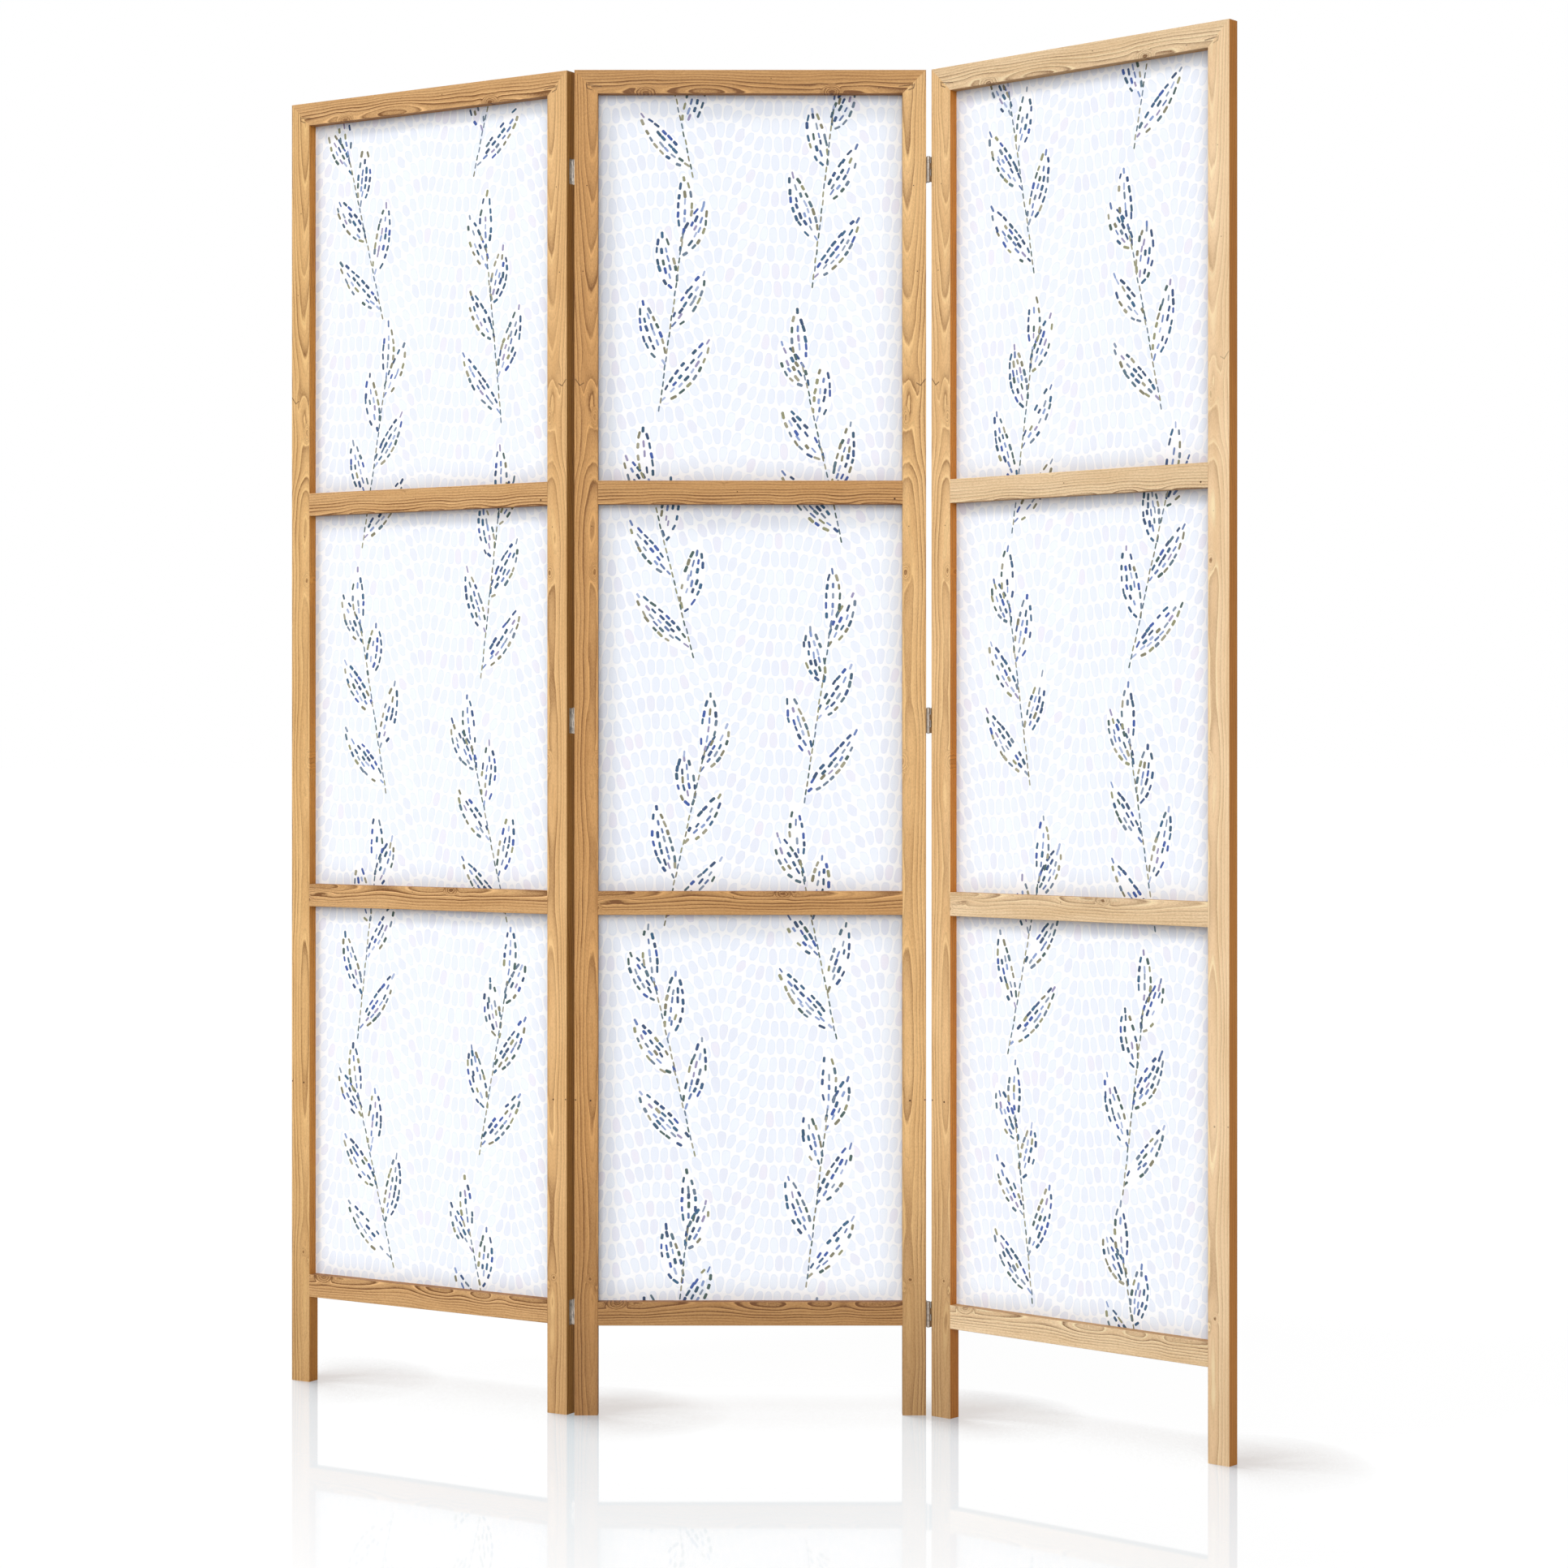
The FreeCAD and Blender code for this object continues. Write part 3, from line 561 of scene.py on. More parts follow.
def wood_material(name, panel, timber, seed):
    """Pine with growth rings, flames and knots that follow the timber's own length."""
    grain = Grain(name, panel, timber, seed)
    tone = linear(TONES[panel][grain.part])
    figure = FIGURES[panel][grain.part]
    radius = heart_radius(grain)
    rings, hearts = bent_rings(grain, radius)
    phase = grain.math("FRACT", rings)
    strength = line_strength(grain, rings, radius)
    crumbs = grain.noise(grain.stretched(*CRUMBS), detail=3.0, roughness=0.7)
    fibre = grain.noise(grain.stretched(*FIBRES), detail=3.0, roughness=0.75)
    late = late_wood(grain, rings, phase, radius, strength, crumbs)
    late = grain.times(late, figure, clamp=True)
    for heart in hearts:
        broken = grain.times(heart, grain.remap(crumbs, *HEART_BREAKS))
        late = grain.plus(late, broken, clamp=True)

    colour = light_wood(grain, tone, figure, fibre)
    # A paler edge stands beside each dark line.
    pale = grain.times(grain.remap(phase, *PALE_EDGE), grain.times(strength, PALE_STRENGTH))
    colour = grain.mix(pale, colour, scaled(tone, PALE_FACTORS))
    cover = grain.times(late, LINE_COVER)
    colour = grain.mix(cover, colour, linear(LINE_COLOURS[grain.kind]))
    for mark in front_marks(grain):
        cover = grain.times(mark, min(figure * MARK_STRENGTH, 1.0))
        colour = grain.mix(cover, colour, linear(MARK_COLOUR))
    roughness = grain.remap(fibre, *WOOD_ROUGHNESS)
    # Painted shade on the faces turned sideways and towards the floor.
    colour = with_painted_shade(grain, colour)
    grain.fill(grain.shader, Base_Color=colour, Roughness=roughness, Specular_IOR_Level=0.3)
    relief = grain.math("MULTIPLY_ADD", late, -0.8, grain.times(fibre, 0.5))
    grain.bump(relief, 0.5, WOOD_RELIEF)
    return grain.owner


def dress(node, material):
    """Give a CAD piece its material."""
    piece = bpy.data.objects[node]
    if not piece.data.materials:
        piece.data.materials.append(material)
    for index in range(len(piece.data.materials)):
        piece.data.materials[index] = material


# Steps between the seeds of two timbers and of two panels.
TIMBER_SEED = 1.7
PANEL_SEED = 0.31


def dress_timbers():
    for panel_number, panel in enumerate(PANELS):
        for number, timber in enumerate(TIMBERS + BEADS):
            name = panel + "_" + timber
            seed = TIMBER_SEED * number + PANEL_SEED * panel_number
            dress(name, wood_material(name + "_pine", panel, timber, seed))


def beech_material():
    """Turned beech of the dowels: pale, even, with short fine flecks."""
    graph = Graph("turned_beech")
    place = graph.place()
    flecks = graph.noise(place, scale=900.0, detail=3.0, roughness=0.7)
    colour = graph.mix(graph.remap(flecks, 0.35, 0.7), linear("dcb98f"), linear("b98f62"))
    graph.fill(graph.shader, Base_Color=colour, Roughness=0.6)
    return graph.owner


# Plated steel, with brushing drawn out upwards and with dull patches that are rougher.
BRUSHED_UP = 0.06
BRUSH_SCALE = 5200.0
PATCH_SCALE = 210.0
LINE_FACTORS = (0.35, 0.35, 0.35)
PATCH_SHADES = (0.35, 0.7, 1.0, 0.72)
PATCH_ROUGHNESS = 0.16
BRUSH_RELIEF = 0.03


def metal_material(name, tint, roughness, brushed):
    """Plated steel with fine brushing and a few dull patches."""
    graph = Graph(name)
    place = graph.place()
    drawn = graph.vector("MULTIPLY", place, (1.0, 1.0, BRUSHED_UP if brushed else 1.0))
    lines = graph.noise(drawn, scale=BRUSH_SCALE, detail=2.0, roughness=0.6)
    patches = graph.noise(place, scale=PATCH_SCALE, detail=3.0, roughness=0.6)
    bright = linear(tint)
    lined = graph.mix(graph.remap(lines, 0.35, 0.65, 0.0, 0.6), bright, scaled(bright, LINE_FACTORS))
    shade = graph.remap(patches, *PATCH_SHADES)
    colour = graph.mix(1.0, lined, graph.combine(shade, shade, shade), "MULTIPLY")
    uneven = graph.remap(patches, 0.3, 0.7, roughness, roughness + PATCH_ROUGHNESS)
    graph.fill(graph.shader, Base_Color=colour, Roughness=uneven, Metallic=1.0)
    graph.bump(lines, 0.25, BRUSH_RELIEF)
    return graph.owner


def dress_fittings():
    beech = beech_material()
    wire = metal_material("bright_wire", "a9a6a2", 0.38, False)
    screw = metal_material("zinc_plate", "d2cfc9", 0.32, False)
    pin = metal_material("nickel_pin", "a39990", 0.32, True)
    # The hinges inside the closed joint get a far paler nickel than those that stand in the open, a painted
    # light against the joint's shade.
    leaf = {"left": metal_material("closed_joint_nickel_painted_light", "f6f1ea", 0.36, True),
            "right": metal_material("open_joint_nickel", "a89d92", 0.34, True)}
    for panel in PANELS:
        dress(panel + "_dowels", beech)
        dress(panel + "_bead_pins", wire)
        dress(panel + "_hinge_screws", screw)
    for joint, plated in leaf.items():
        for hinge in HINGES:
            name = "%s_%s_hinge_" % (joint, hinge)
            dress(name + "outer_leaf", plated)
            dress(name + "centre_leaf", plated)
            dress(name + "pin", pin)


# The sprigs of the print, in millimetres: their two columns as shares of the cloth, the step
# to the next one above, their length, where each column begins, and their shifts and lean.
SPRIG_COLUMNS = (0.27, 0.73)
SPRIG_PITCH = 318.0
SPRIG_LENGTH = 236.0
SPRIG_FIRST = (0.95, 0.45)
SPRIG_ASIDE = 22
SPRIG_SHIFTS = (10, 14)
SPRIG_LEAN = (0.10, 0.26)
# The leaves of a twig: their size, where they leave it and at what angle, and how much of
# both is lost from one leaf to the next.
LEAF_COUNT = 5
LEAF_LENGTH = 104.0
LEAF_HALF_WIDTH = 12.5
LEAF_FIRST = 0.06
LEAF_STEP = 0.2
LEAF_ANGLE = 0.70
LEAF_ANGLE_LOSS = 0.06
LEAF_LENGTH_LOSS = 0.07
LEAF_LENGTHS = (0.92, 1.08)
LEAF_WIDTHS = (0.85, 1.05)
LEAF_CURL = 0.35
# The last leaf, as shares of the twig's length and of a leaf's size, and its curl.
TIP_PLACE = 0.96
TIP_LENGTH = 0.78
TIP_WIDTH = 0.8
TIP_CURL = 0.25
LEAF_MARGIN = 2.5
LEAF_STEPS = 14
# Brush dashes: the steps between them along and across a leaf, sizes, and inks.
DASH_PITCH = (10.6, 5.0)
DASH_INSET = 1.2
DASH_HALF_LENGTHS = (3.4, 4.9)
DASH_HALF_WIDTHS = (1.35, 2.05)
DASH_SHIFT = 0.18
DASH_STAGGER = 0.25
DASH_TURN = 0.1
DASH_MISSING = 0.10
DASH_ODD_INK = 0.2
SLOPE_STEP = 0.03
SOFT_DASH = 0.8
TWIG_DASH = (3.9, 1.0)
TWIG_WANDER = 0.5
DARK_SIDE = 0.2
EARTH_SIDE = -0.7
EDGE_CLEARANCE = 0.5
BARE = "fdfdff"
DARK_INKS = ("0b4075", "0a3962", "0f4a72", "14557a", "1f4b9c", "0e4663")
SOFT_INKS = ("7f97c6", "928bb0", "5f7ab0", "a3b2d4", "4d6a9c", "7f90a6")
EARTH_INKS = ("8b8b64", "5e7388", "2f504b", "777355", "446474", "98947a")


def turned(middle, turn, run, rise):
    """The point that lies run ahead and rise to the left of a middle, facing a turn."""
    cosine, sine = math.cos(turn), math.sin(turn)
    return Vector((middle.x + run * cosine - rise * sine, middle.y + run * sine + rise * cosine))


def dash_outline(middle, turn, half_length, half_width):
    """A short rounded dash as eight points."""
    shape = ((1, 0.45), (0.72, 1), (-0.72, 1), (-1, 0.45), (-1, -0.45), (-0.72, -1), (0.72, -1), (1, -0.45))
    return [turned(middle, turn, run * half_length, rise * half_width) for run, rise in shape]


class Leaf:
    """A slender curved leaf: its spine, its width along the spine, and its shapes."""

    def __init__(self, root, heading, length, half_width, curl):
        self.root = root
        self.heading = heading
        self.length = length
        self.half_width = half_width
        self.curl = curl

    def spine(self, share):
        lean = self.heading + self.curl * share / 2
        return self.root + Vector((math.cos(lean), math.sin(lean))) * self.length * share

    def turn(self, share):
        return self.heading + self.curl * share

    def width(self, share):
        """Half the leaf's width: widest past the middle, and blunt at the tip."""
        return self.half_width * max(0.0, math.sin(math.pi * share ** 0.85)) ** 0.75

    def slope(self, share):
        """How fast the leaf widens along its spine."""
        ahead = self.width(min(share + SLOPE_STEP, 1))
        behind = self.width(max(share - SLOPE_STEP, 0))
        return (ahead - behind) / (2 * SLOPE_STEP * self.length)

    def edge(self, share, side):
        """A point of the leaf's outline, a little outside its dashes."""
        return turned(self.spine(share), self.turn(share), 0, side * (self.width(share) + LEAF_MARGIN))

    def outline(self):
        shares = [step / LEAF_STEPS for step in range(LEAF_STEPS + 1)]
        return [self.edge(s, -1) for s in shares] + [self.edge(s, 1) for s in reversed(shares)]

    def dashes(self, rng, dark_side):
        """Rows of dashes from edge to edge, dark on one side."""
        shapes = []
        steps = int(self.length / DASH_PITCH[0])
        for step in range(steps):
            share = (step + 0.5) / steps
            width = self.width(share) - DASH_INSET
            rows = max(1, round(2 * width / DASH_PITCH[1]))
            for row in range(rows):
                if rng.random() < DASH_MISSING:
                    continue
                place = 0.0 if rows == 1 else 2 * row / (rows - 1) - 1
                shift = rng.uniform(-DASH_SHIFT, DASH_SHIFT) / steps
                shift += DASH_STAGGER / steps if row % 2 else 0.0
                middle = turned(self.spine(share + shift), self.turn(share), 0, place * max(width, 0))
                turn = self.turn(share) + place * math.atan(self.slope(share))
                turn += rng.uniform(-DASH_TURN, DASH_TURN)
                inks = SOFT_INKS
                if place * dark_side > DARK_SIDE:
                    inks = DARK_INKS
                elif place * dark_side < EARTH_SIDE:
                    inks = EARTH_INKS
                if rng.random() < DASH_ODD_INK:
                    inks = DARK_INKS + EARTH_INKS
                half_length = rng.uniform(*DASH_HALF_LENGTHS)
                half_width = rng.uniform(*DASH_HALF_WIDTHS) * (SOFT_DASH if inks is SOFT_INKS else 1.0)
                outline = dash_outline(middle, turn, half_length, half_width)
                shapes.append((outline, rng.choice(inks)))
        return shapes


def sprig_shapes(rng, root, heading, mirror):
    """A twig with slender leaves that leave it by turns on either side."""
    leaves = []
    for number in range(LEAF_COUNT):
        side = mirror * (1 if number % 2 else -1)
        start = turned(root, heading, SPRIG_LENGTH * (LEAF_FIRST + LEAF_STEP * number), 0)
        spread = side * (LEAF_ANGLE - LEAF_ANGLE_LOSS * number)
        length = LEAF_LENGTH * (1.0 - LEAF_LENGTH_LOSS * number) * rng.uniform(*LEAF_LENGTHS)
        half_width = LEAF_HALF_WIDTH * rng.uniform(*LEAF_WIDTHS)
        leaves.append(Leaf(start, heading + spread, length, half_width, -side * LEAF_CURL))
    tip = turned(root, heading, SPRIG_LENGTH * TIP_PLACE, 0)
    tip_size = (LEAF_LENGTH * TIP_LENGTH, LEAF_HALF_WIDTH * TIP_WIDTH)
    leaves.append(Leaf(tip, heading, *tip_size, mirror * TIP_CURL))
    shapes = [(leaf.outline(), BARE) for leaf in leaves]
    for leaf in leaves:
        shapes += leaf.dashes(rng, mirror)
    for step in range(int(SPRIG_LENGTH / DASH_PITCH[0])):
        aside = rng.uniform(-TWIG_WANDER, TWIG_WANDER)
        middle = turned(root, heading, DASH_PITCH[0] * (step + 0.5), aside)
        shapes.append((dash_outline(middle, heading, *TWIG_DASH), rng.choice(EARTH_INKS)))
    return shapes


def print_shapes(rng, left, right, bottom, top, left_first):
    """All the shapes of one panel's print that lie on its cloth, in order of printing."""
    shapes = []
    for column, share in enumerate(SPRIG_COLUMNS):
        side = 1 if column == 0 else -1
        level = bottom - SPRIG_PITCH * SPRIG_FIRST[0 if (column == 0) == left_first else 1]
        while level < top:
            across = left + (right - left) * share - side * SPRIG_ASIDE
            across += rng.uniform(-SPRIG_SHIFTS[0], SPRIG_SHIFTS[0])
            root = Vector((across, level + rng.uniform(-SPRIG_SHIFTS[1], SPRIG_SHIFTS[1])))
            heading = math.pi / 2 - side * rng.uniform(*SPRIG_LEAN)
            shapes += sprig_shapes(rng, root, heading, side)
            level += SPRIG_PITCH
            side = -side
    left, right = left + EDGE_CLEARANCE, right - EDGE_CLEARANCE
    bottom, top = bottom + EDGE_CLEARANCE, top - EDGE_CLEARANCE
    kept = []
    for outline, ink in shapes:
        if all(left < p.x < right and bottom < p.y < top for p in outline):
            kept.append((outline, ink))
    return kept


# The drawn cloth stays this far inside the CAD cloth, so that no two faces lie on each other.
CANVAS_MARGIN = 0.03
# Areas of the print lie inside an outline, and points this close are one.
AREAS_INSIDE = 1
SAME_POINT = 1e-5


def print_areas(outlines):
    """Areas between all outlines: their points, their corners, and the outlines over each."""
    points, loops = [], []
    for outline in outlines:
        loops.append(list(range(len(points), len(points) + len(outline))))
        points += outline
    flat, _, faces, _, _, owners = delaunay_2d_cdt(points, [], loops, AREAS_INSIDE, SAME_POINT)
    return flat, [tuple(face) for face in faces], owners


def print_ink(mesh, inks):
    """Write each area's ink into the mesh, clear where it has none."""
    layer = mesh.color_attributes.new("ink", "FLOAT_COLOR", "CORNER")
    for polygon, ink in zip(mesh.polygons, inks):
        value = linear(ink)[:3] + (1.0,) if ink else (1.0, 1.0, 1.0, 0.0)
        for loop in polygon.loop_indices:
            layer.data[loop].color = value


def make_canvas(panel, seed):
    """A stretched sheet with its print as areas of its front, closed at the back and edges."""
    low, high = local_box("canvas")
    left, right = low.x + CANVAS_MARGIN, high.x - CANVAS_MARGIN
    bottom, top = low.z + CANVAS_MARGIN, high.z - CANVAS_MARGIN
    front, back = low.y + CANVAS_MARGIN, high.y - CANVAS_MARGIN
    corners = [Vector(place) for place in ((left, bottom), (right, bottom), (right, top), (left, top))]
    shapes = print_shapes(random.Random(seed), left, right, bottom, top, seed % 2 == 1)
    inks = [None] + [ink for _, ink in shapes]
    flat, polygons, owners = print_areas([corners] + [outline for outline, _ in shapes])
    area_inks = [inks[max(over)] if over else None for over in owners]

    corner, turn = FRAMES[panel]
    into_world = Matrix.Translation(corner) @ Matrix.Rotation(turn, 4, "Z") @ Matrix.Scale(MM, 4)
    places = [into_world @ Vector((p.x, front, p.y)) for p in flat]
    base = len(places)
    places += [into_world @ Vector((p.x, back, p.y)) for p in corners]
    ends = [min(range(base), key=lambda i, p=p: (flat[i] - p).length) for p in corners]
    polygons.append((base + 3, base + 2, base + 1, base))
    for number in range(4):
        after = (number + 1) % 4
        polygons.append((ends[number], base + number, base + after, ends[after]))
    area_inks += [None] * 5
    mesh = bpy.data.meshes.new(panel + "_print")
    mesh.from_pydata(places, [], polygons)
    mesh.validate()
    print_ink(mesh, area_inks)
    mesh.materials.append(canvas_material(panel, seed, front))

    sheet = add_object(panel + "_printed_canvas", mesh)
    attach(sheet, panel)
    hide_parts(panel + "_canvas")


# The pale dabs of the ground, in millimetres, in rows that follow two waves, each with its
# height and length.
WAVES = ((11.0, 236.0), (4.5, 97.0))
WAVE_SEED = 1.3
DAB_PITCH = (12.2, 23.0)
DAB_HALF = (5.1, 10.3)
DAB_STAGGER = 0.5
DAB_ROW_SHIFT = 0.35
DAB_LEAN = 0.14
DAB_SHIFTS = (1.0, 2.0)
DAB_ROUNDING = 2.6
DAB_SIZES = (0.0, 1.0, 0.86, 1.06)
DAB_WOBBLE = 0.55
DAB_WOBBLE_SCALE = 0.22
DAB_EDGE = (1.06, 0.92)
DAB_RIM = (0.45, 0.98)
DAB_RIM_COVER = 0.55
DAB_TONES = ((0.0, "eff4fd"), (0.3, "ebf0fa"), (0.65, "f2f7fe"), (0.88, "e9edf8"), (1.0, "efedf7"))
DAB_TONE_SEED = 4.0
RIM_COLOUR = "e2e8f5"
GROUND_COLOUR = "fcfdff"
BACK_COLOUR = "f1efe9"
# The ink covers a little unevenly, and the front is told from the back by its depth.
INK_COVER = (0.35, 0.65, 1.0, 0.88)
FRONT_RANGE = (0.05, 0.02)
# The cloth lies deep in its frame, so a painted shade dims its colour along the edges of each window.
EDGE_REACH = 0.032
PAINTED_EDGE_SHADE = (0.70, 1.0, 0.80, 1.0)
WEAVE_PITCH = 0.9
WEAVE_RELIEF = 0.05
SLUB_SCALES = (0.5, 0.05)
SLUB_HEIGHT = 1.5


def waving_rows(graph, x, z, seed):
    """The height of a place above its wave, and how steep the wave is there."""
    level, tilt = z, 0.0
    for height, length in WAVES:
        angle = graph.math("MULTIPLY_ADD", x, 2 * math.pi / length, seed * WAVE_SEED + length)
        level = graph.math("MULTIPLY_ADD", graph.math("SINE", angle), height, level)
        tilt = graph.math("MULTIPLY_ADD", graph.math("COSINE", angle), 2 * math.pi * height / length, tilt)
    return level, tilt


def dabs(graph, x, z, seed):
    """Pale dabs in waving rows: their cover, the cover of their rims, and a chance for their tone."""
    level, tilt = waving_rows(graph, x, z, seed)
    row = graph.math("FLOOR", graph.math("DIVIDE", level, DAB_PITCH[1]))
    stagger = graph.times(graph.math("FLOORED_MODULO", row, 2.0), DAB_STAGGER)
    shift = graph.plus(stagger, graph.times(graph.chance(row), DAB_ROW_SHIFT))
    column_at = graph.plus(graph.math("DIVIDE", x, DAB_PITCH[0]), shift)
    column = graph.math("FLOOR", column_at)
    cell = graph.combine(column, row, seed)

    # The place within the dab's own cell, with a lean and a shift that differ from dab to dab.
    across = graph.centred(graph.math("FRACT", column_at), DAB_PITCH[0])
    up = graph.centred(graph.math("FRACT", graph.math("DIVIDE", level, DAB_PITCH[1])), DAB_PITCH[1])
    across = graph.minus(across, graph.times(tilt, up))
    jitter = graph.node("TexWhiteNoise", noise_dimensions="3D")
    graph.feed(jitter.inputs["Vector"], cell)
    parts = graph.node("SeparateColor")
    graph.feed(parts.inputs[0], jitter.outputs["Color"])
    lean = graph.centred(parts.outputs[0], DAB_LEAN)
    across = graph.plus(across, graph.times(lean, up))
    across = graph.plus(across, graph.centred(parts.outputs[1], DAB_SHIFTS[0]))
    up = graph.plus(up, graph.centred(parts.outputs[2], DAB_SHIFTS[1]))

    wobble = graph.centred(graph.noise(graph.combine(x, z), scale=DAB_WOBBLE_SCALE, detail=3.0), DAB_WOBBLE)
    size = graph.remap(graph.chance(cell, "3D"), *DAB_SIZES)
    shares = []
    for offset, half in zip((across, up), DAB_HALF):
        share = graph.math("ABSOLUTE", graph.math("DIVIDE", offset, half))
        shares.append(graph.math("POWER", share, DAB_ROUNDING))
    reach = graph.math("DIVIDE", graph.plus(graph.plus(*shares), wobble), size)
    tone = graph.chance(graph.combine(row, column, seed + DAB_TONE_SEED), "3D")
    return graph.remap(reach, *DAB_EDGE), graph.remap(reach, *DAB_RIM), tone


def dab_colour(graph, rim, chance):
    """The wash of a dab, a little stronger along its rim."""
    tone = graph.node("ValToRGB")
    stops = tone.color_ramp.elements
    for place, colour in DAB_TONES:
        stop = stops.new(place) if 0 < place < 1 else stops[0 if place == 0 else -1]
        stop.color = linear(colour)
    graph.feed(tone.inputs[0], chance)
    return graph.mix(graph.times(rim, DAB_RIM_COVER), tone.outputs[0], linear(RIM_COLOUR))


def weave(graph, x, z):
    """Height of a plain weave with uneven threads."""
    warp = graph.math("SINE", graph.times(x, 2 * math.pi / WEAVE_PITCH))
    weft = graph.math("SINE", graph.times(z, 2 * math.pi / WEAVE_PITCH))
    threads = graph.combine(*(graph.times(way, scale) for way, scale in zip((x, z), SLUB_SCALES)))
    slub = graph.noise(threads, detail=3.0)
    return graph.plus(graph.times(warp, weft), graph.times(slub, SLUB_HEIGHT))


def canvas_material(panel, seed, front):
    """White canvas with pale dabs in waving rows, the inks of the mesh, a painted shade along the window
    edges, and a plain weave.
    """
    graph = Graph(panel + "_canvas_cloth")
    x, depth, z = graph.panel_place(panel)
    dab, rim, chance = dabs(graph, x, z, seed)
    ground = graph.mix(dab, linear(GROUND_COLOUR), dab_colour(graph, rim, chance))
    ink = graph.node("Attribute", attribute_name="ink")
    mottle = graph.noise(graph.combine(x, z), scale=0.9, detail=3.0, roughness=0.7)
    cover = graph.times(ink.outputs["Alpha"], graph.remap(mottle, *INK_COVER))
    printed = graph.mix(cover, ground, ink.outputs["Color"])
    is_front = graph.remap(depth, *(front + margin for margin in FRONT_RANGE))
    colour = graph.mix(is_front, linear(BACK_COLOUR), printed)
    # Painted shade along the window edges, from the frame's occlusion.
    edge = graph.node("AmbientOcclusion", samples=6)
    graph.fill(edge, Distance=EDGE_REACH)
    painted_edge_shade = graph.remap(edge.outputs["AO"], *PAINTED_EDGE_SHADE)
    colour = graph.mix(1.0, colour, graph.combine(painted_edge_shade, painted_edge_shade, painted_edge_shade), "MULTIPLY")
    graph.fill(graph.shader, Base_Color=colour, Roughness=0.88, Specular_IOR_Level=0.2)
    graph.bump(weave(graph, x, z), 0.25, WEAVE_RELIEF)
    return graph.owner


# The scale and place of the centre panel in the photograph, and the camera that follows.
PHOTO_PX = 1932
PHOTO_PX_PER_M = 969.6
PHOTO_PANEL_LEFT_PX = 707.7
PHOTO_PANEL_FOOT_PX = 1744
CAMERA_DISTANCE = 4.15
CAMERA_HEIGHT = 0.8576
CAMERA_SIGHT = 100
SENSOR_MM = 36


def make_camera():
    """Level camera square to the centre panel, as in the photograph."""
    corner = FRAMES["centre_panel"][0]
    centre_px = PHOTO_PX / 2
    across = (centre_px - PHOTO_PANEL_LEFT_PX) / PHOTO_PX_PER_M
    horizon_px = PHOTO_PANEL_FOOT_PX - CAMERA_HEIGHT * PHOTO_PX_PER_M
    data = bpy.data.cameras.new("camera")
    data.sensor_width = SENSOR_MM
    data.lens = PHOTO_PX_PER_M * CAMERA_DISTANCE / PHOTO_PX * SENSOR_MM
    data.shift_y = (horizon_px - centre_px) / PHOTO_PX
    data.clip_end = CAMERA_SIGHT
    camera = add_object("camera", data)
    camera.location = (corner.x + across, corner.y - CAMERA_DISTANCE, CAMERA_HEIGHT)
    camera.rotation_euler = (math.pi / 2, 0, 0)
    bpy.context.scene.camera = camera


# Soft lamps: turn to the left of the camera, height and spread, in degrees, and power.
LAMPS = {"front": (5, 18, 46, 2.04), "side": (60, 50, 14, 1.38), "back": (165, 40, 30, 2.0)}
LAMP_DISTANCE = 5
# The studio's even light, and the white that the camera and reflections see.
WORLD_LIGHT = 0.14
WORLD_WHITE = 1


def sun_light(name, azimuth, height, spread, power):
    """A far soft lamp."""
    data = bpy.data.lights.new(name, "SUN")
    data.energy = power
    data.angle = math.radians(spread)
    lamp = add_object(name, data)
    turn, rise = math.radians(azimuth), math.radians(height)
    place = Vector((-math.sin(turn) * math.cos(rise), -math.cos(turn) * math.cos(rise), math.sin(rise)))
    lamp.location = place * LAMP_DISTANCE
    lamp.rotation_euler = place.to_track_quat("Z", "Y").to_euler()
    return lamp


def make_lights():
    lamps = {name: sun_light(name, *values) for name, values in LAMPS.items()}
    # The lamp behind the screen doesn't show in the floor.
    lamps["back"].visible_glossy = False


def make_world():
    """Even studio light, and plain white where the camera or a reflection sees past the floor."""
    graph = Graph("studio", bpy.data.worlds)
    graph.tree.nodes.clear()
    bpy.context.scene.world = graph.owner
    lights = []
    for strength in (WORLD_LIGHT, WORLD_WHITE):
        light = graph.fill(graph.node("Background"), Color=(1, 1, 1, 1), Strength=strength)
        lights.append(light.outputs[0])
    graph.fill(graph.node("OutputWorld"), Surface=graph.by_ray(*lights))


# The white floor. It is wider to the right, so that the line between its two triangles stays
# clear of the screen. Its white is nearly all glow, so the lamps don't burn it out.
FLOOR_LEFT = -200.0
FLOOR_RIGHT = 400.0
FLOOR_REACH = 300.0
FLOOR_GLOW = 0.935
FLOOR_MATT = 0.08
# Light that the floor sends back to the screen comes from this grey.
FLOOR_BOUNCE = (0.45, 0.45, 0.45, 1)
# The soft shade on the side of each foot that is turned from the light.
SHADE_REACH = 0.17
SHADE_FROM = (-0.97, -0.12, 0.20)
SHADE_RANGE = (0.88, 0.995, 0.53, 1.0)
# The mirror image: its strength at the screen and at its end, how far it reaches in front of
# the screen, the strip behind the screen in which it begins, its tint and its roughness.
MIRROR_NEAR = 0.30
MIRROR_FAR = 0.02
MIRROR_REACH = 1.0
MIRROR_BEGIN = (-0.30, -0.12)
MIRROR_TINT = (1.26, 1.0, 0.87)
MIRROR_ROUGHNESS = 0.03


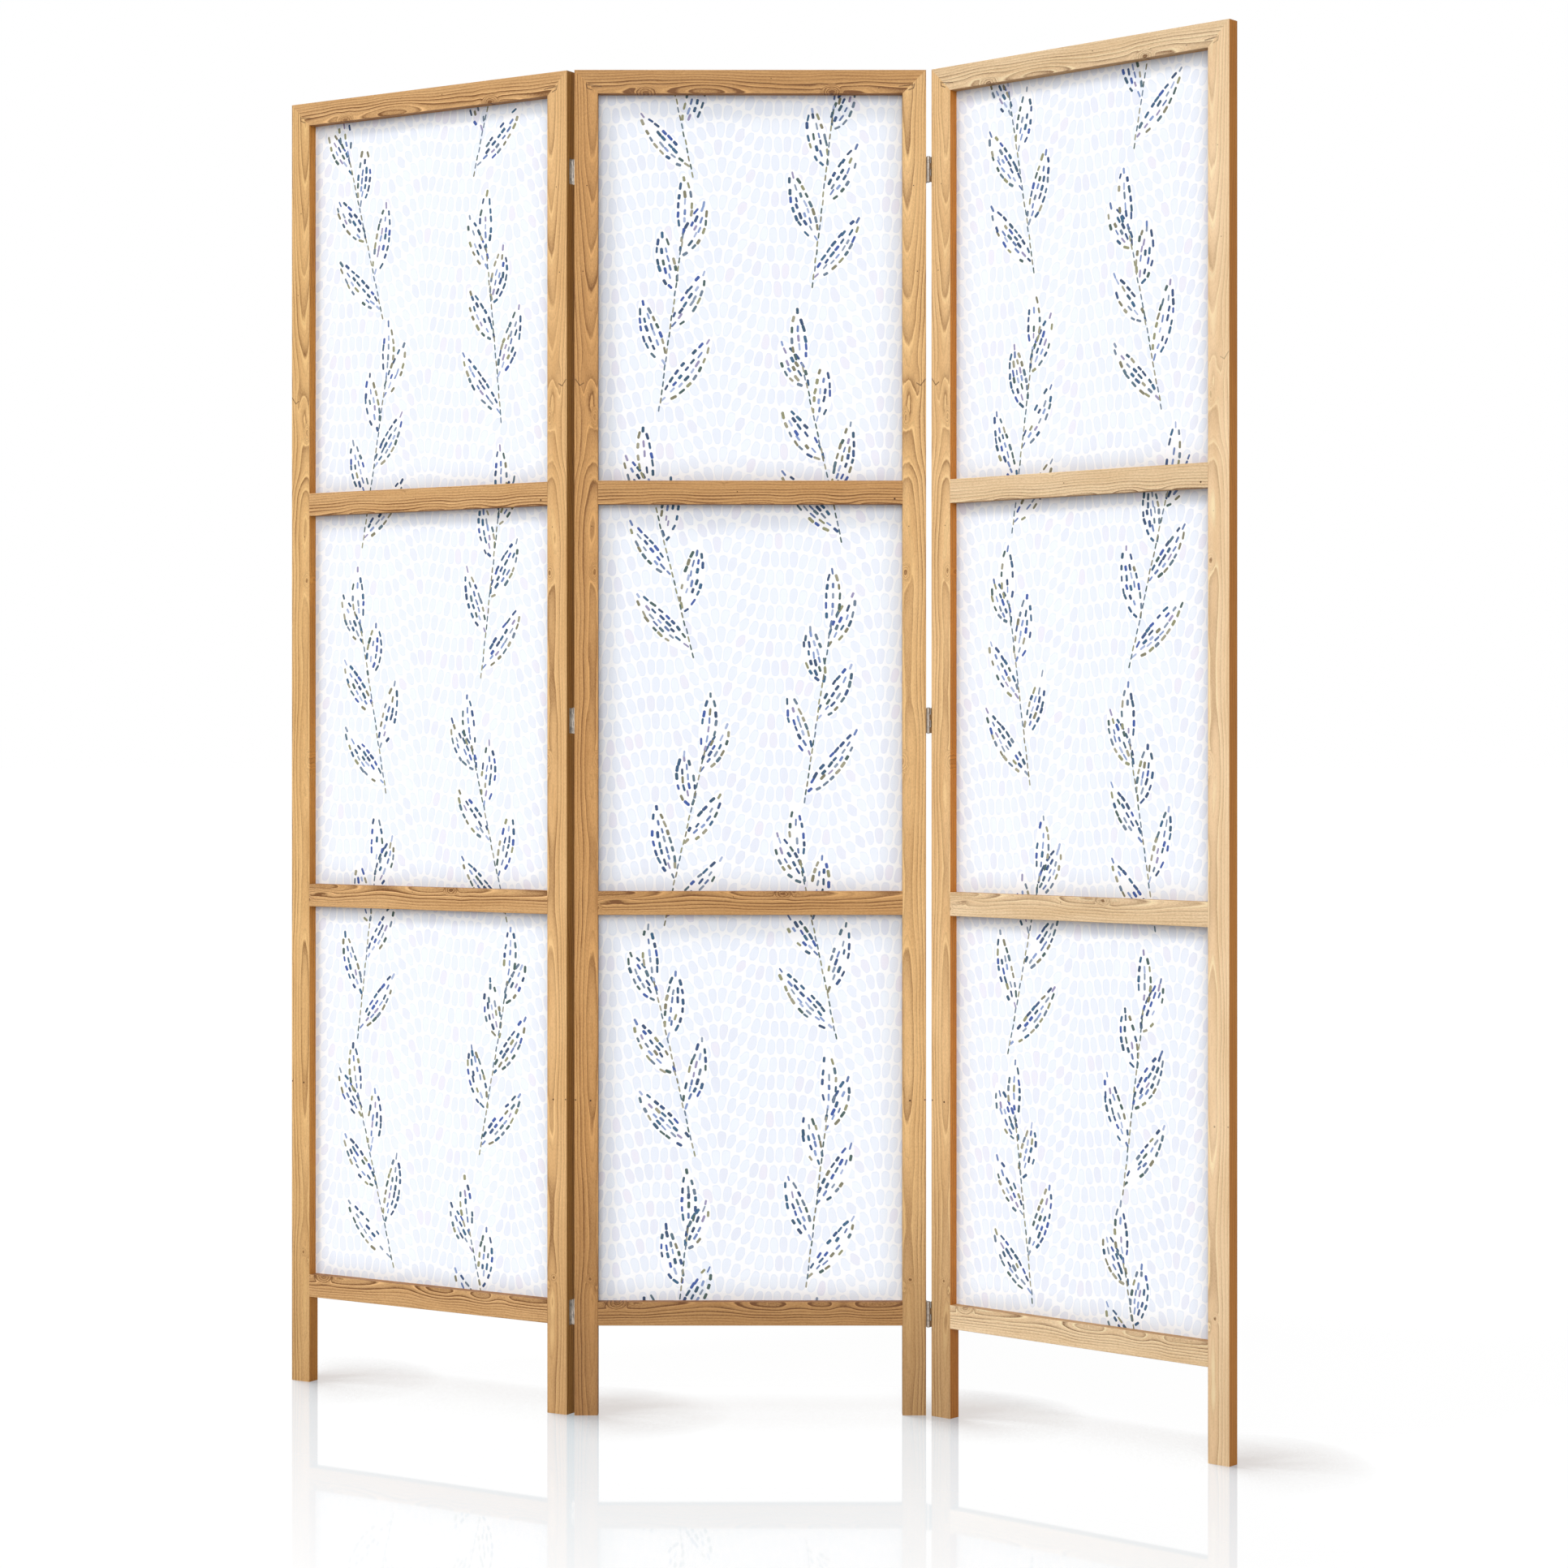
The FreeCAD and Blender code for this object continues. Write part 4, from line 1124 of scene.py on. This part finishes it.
def mirror_strength(graph):
    """The floor's mirror image, which fades with the distance in front of the screen."""
    x, y, _ = graph.split(graph.place())
    first, middle, last = (FRAMES[panel][0] for panel in PANELS)
    turn = FRAMES["right_panel"][1]
    end = last + Vector((math.cos(turn), math.sin(turn), 0)) * PANEL_WIDTH * MM
    line = graph.remap(x, first.x, middle.x, first.y, middle.y)
    line = graph.plus(line, graph.remap(x, last.x, end.x, 0.0, end.y - last.y))
    ahead = graph.minus(line, y)
    faded = graph.remap(ahead, 0.0, MIRROR_REACH, MIRROR_NEAR, MIRROR_FAR)
    faded = graph.times(faded, graph.remap(ahead, *MIRROR_BEGIN))
    return graph.vector("SCALE", MIRROR_TINT, scale=faded)


def floor_look(graph):
    """White with a shade by each foot, a light cast shadow and a mirror image."""
    near = graph.node("AmbientOcclusion", samples=8)
    graph.fill(near, Distance=SHADE_REACH, Normal=graph.combine(*SHADE_FROM))
    shade = graph.remap(near.outputs["AO"], *SHADE_RANGE)
    mirrored = mirror_strength(graph)
    rest = graph.vector("SUBTRACT", (1, 1, 1), mirrored)
    glow, matt, gloss = (graph.node(kind) for kind in ("Emission", "BsdfDiffuse", "BsdfGlossy"))
    graph.fill(glow, Color=graph.vector("SCALE", rest, scale=FLOOR_GLOW), Strength=shade)
    graph.fill(matt, Color=graph.vector("SCALE", rest, scale=FLOOR_MATT))
    graph.fill(gloss, Color=mirrored, Roughness=MIRROR_ROUGHNESS)
    look = glow.outputs[0]
    for layer in (matt, gloss):
        both = graph.node("AddShader")
        graph.feed(both.inputs[0], look)
        graph.feed(both.inputs[1], layer.outputs[0])
        look = both.outputs[0]
    return look


def floor_material():
    """The floor as the camera and reflections see it, and plain grey for other light."""
    graph = Graph("floor")
    graph.tree.nodes.remove(graph.shader)
    plain = graph.fill(graph.node("BsdfDiffuse"), Color=FLOOR_BOUNCE)
    look = graph.by_ray(plain.outputs[0], floor_look(graph))
    graph.fill(graph.tree.nodes["Material Output"], Surface=look)
    return graph.owner


def make_floor():
    """A wide white floor that keeps soft shadows and a faint mirror image."""
    mesh = bpy.data.meshes.new("floor")
    corners = [(FLOOR_LEFT, -FLOOR_REACH, 0), (FLOOR_RIGHT, -FLOOR_REACH, 0),
               (FLOOR_RIGHT, FLOOR_REACH, 0), (FLOOR_LEFT, FLOOR_REACH, 0)]
    mesh.from_pydata(corners, [], [(0, 1, 2, 3)])
    mesh.materials.append(floor_material())
    add_object("floor", mesh)


make_camera()
make_lights()
make_world()
make_floor()
dress_timbers()
dress_fittings()
for number, panel in enumerate(PANELS):
    make_canvas(panel, number + 1)

scene = bpy.context.scene
scene.view_settings.view_transform = "Standard"
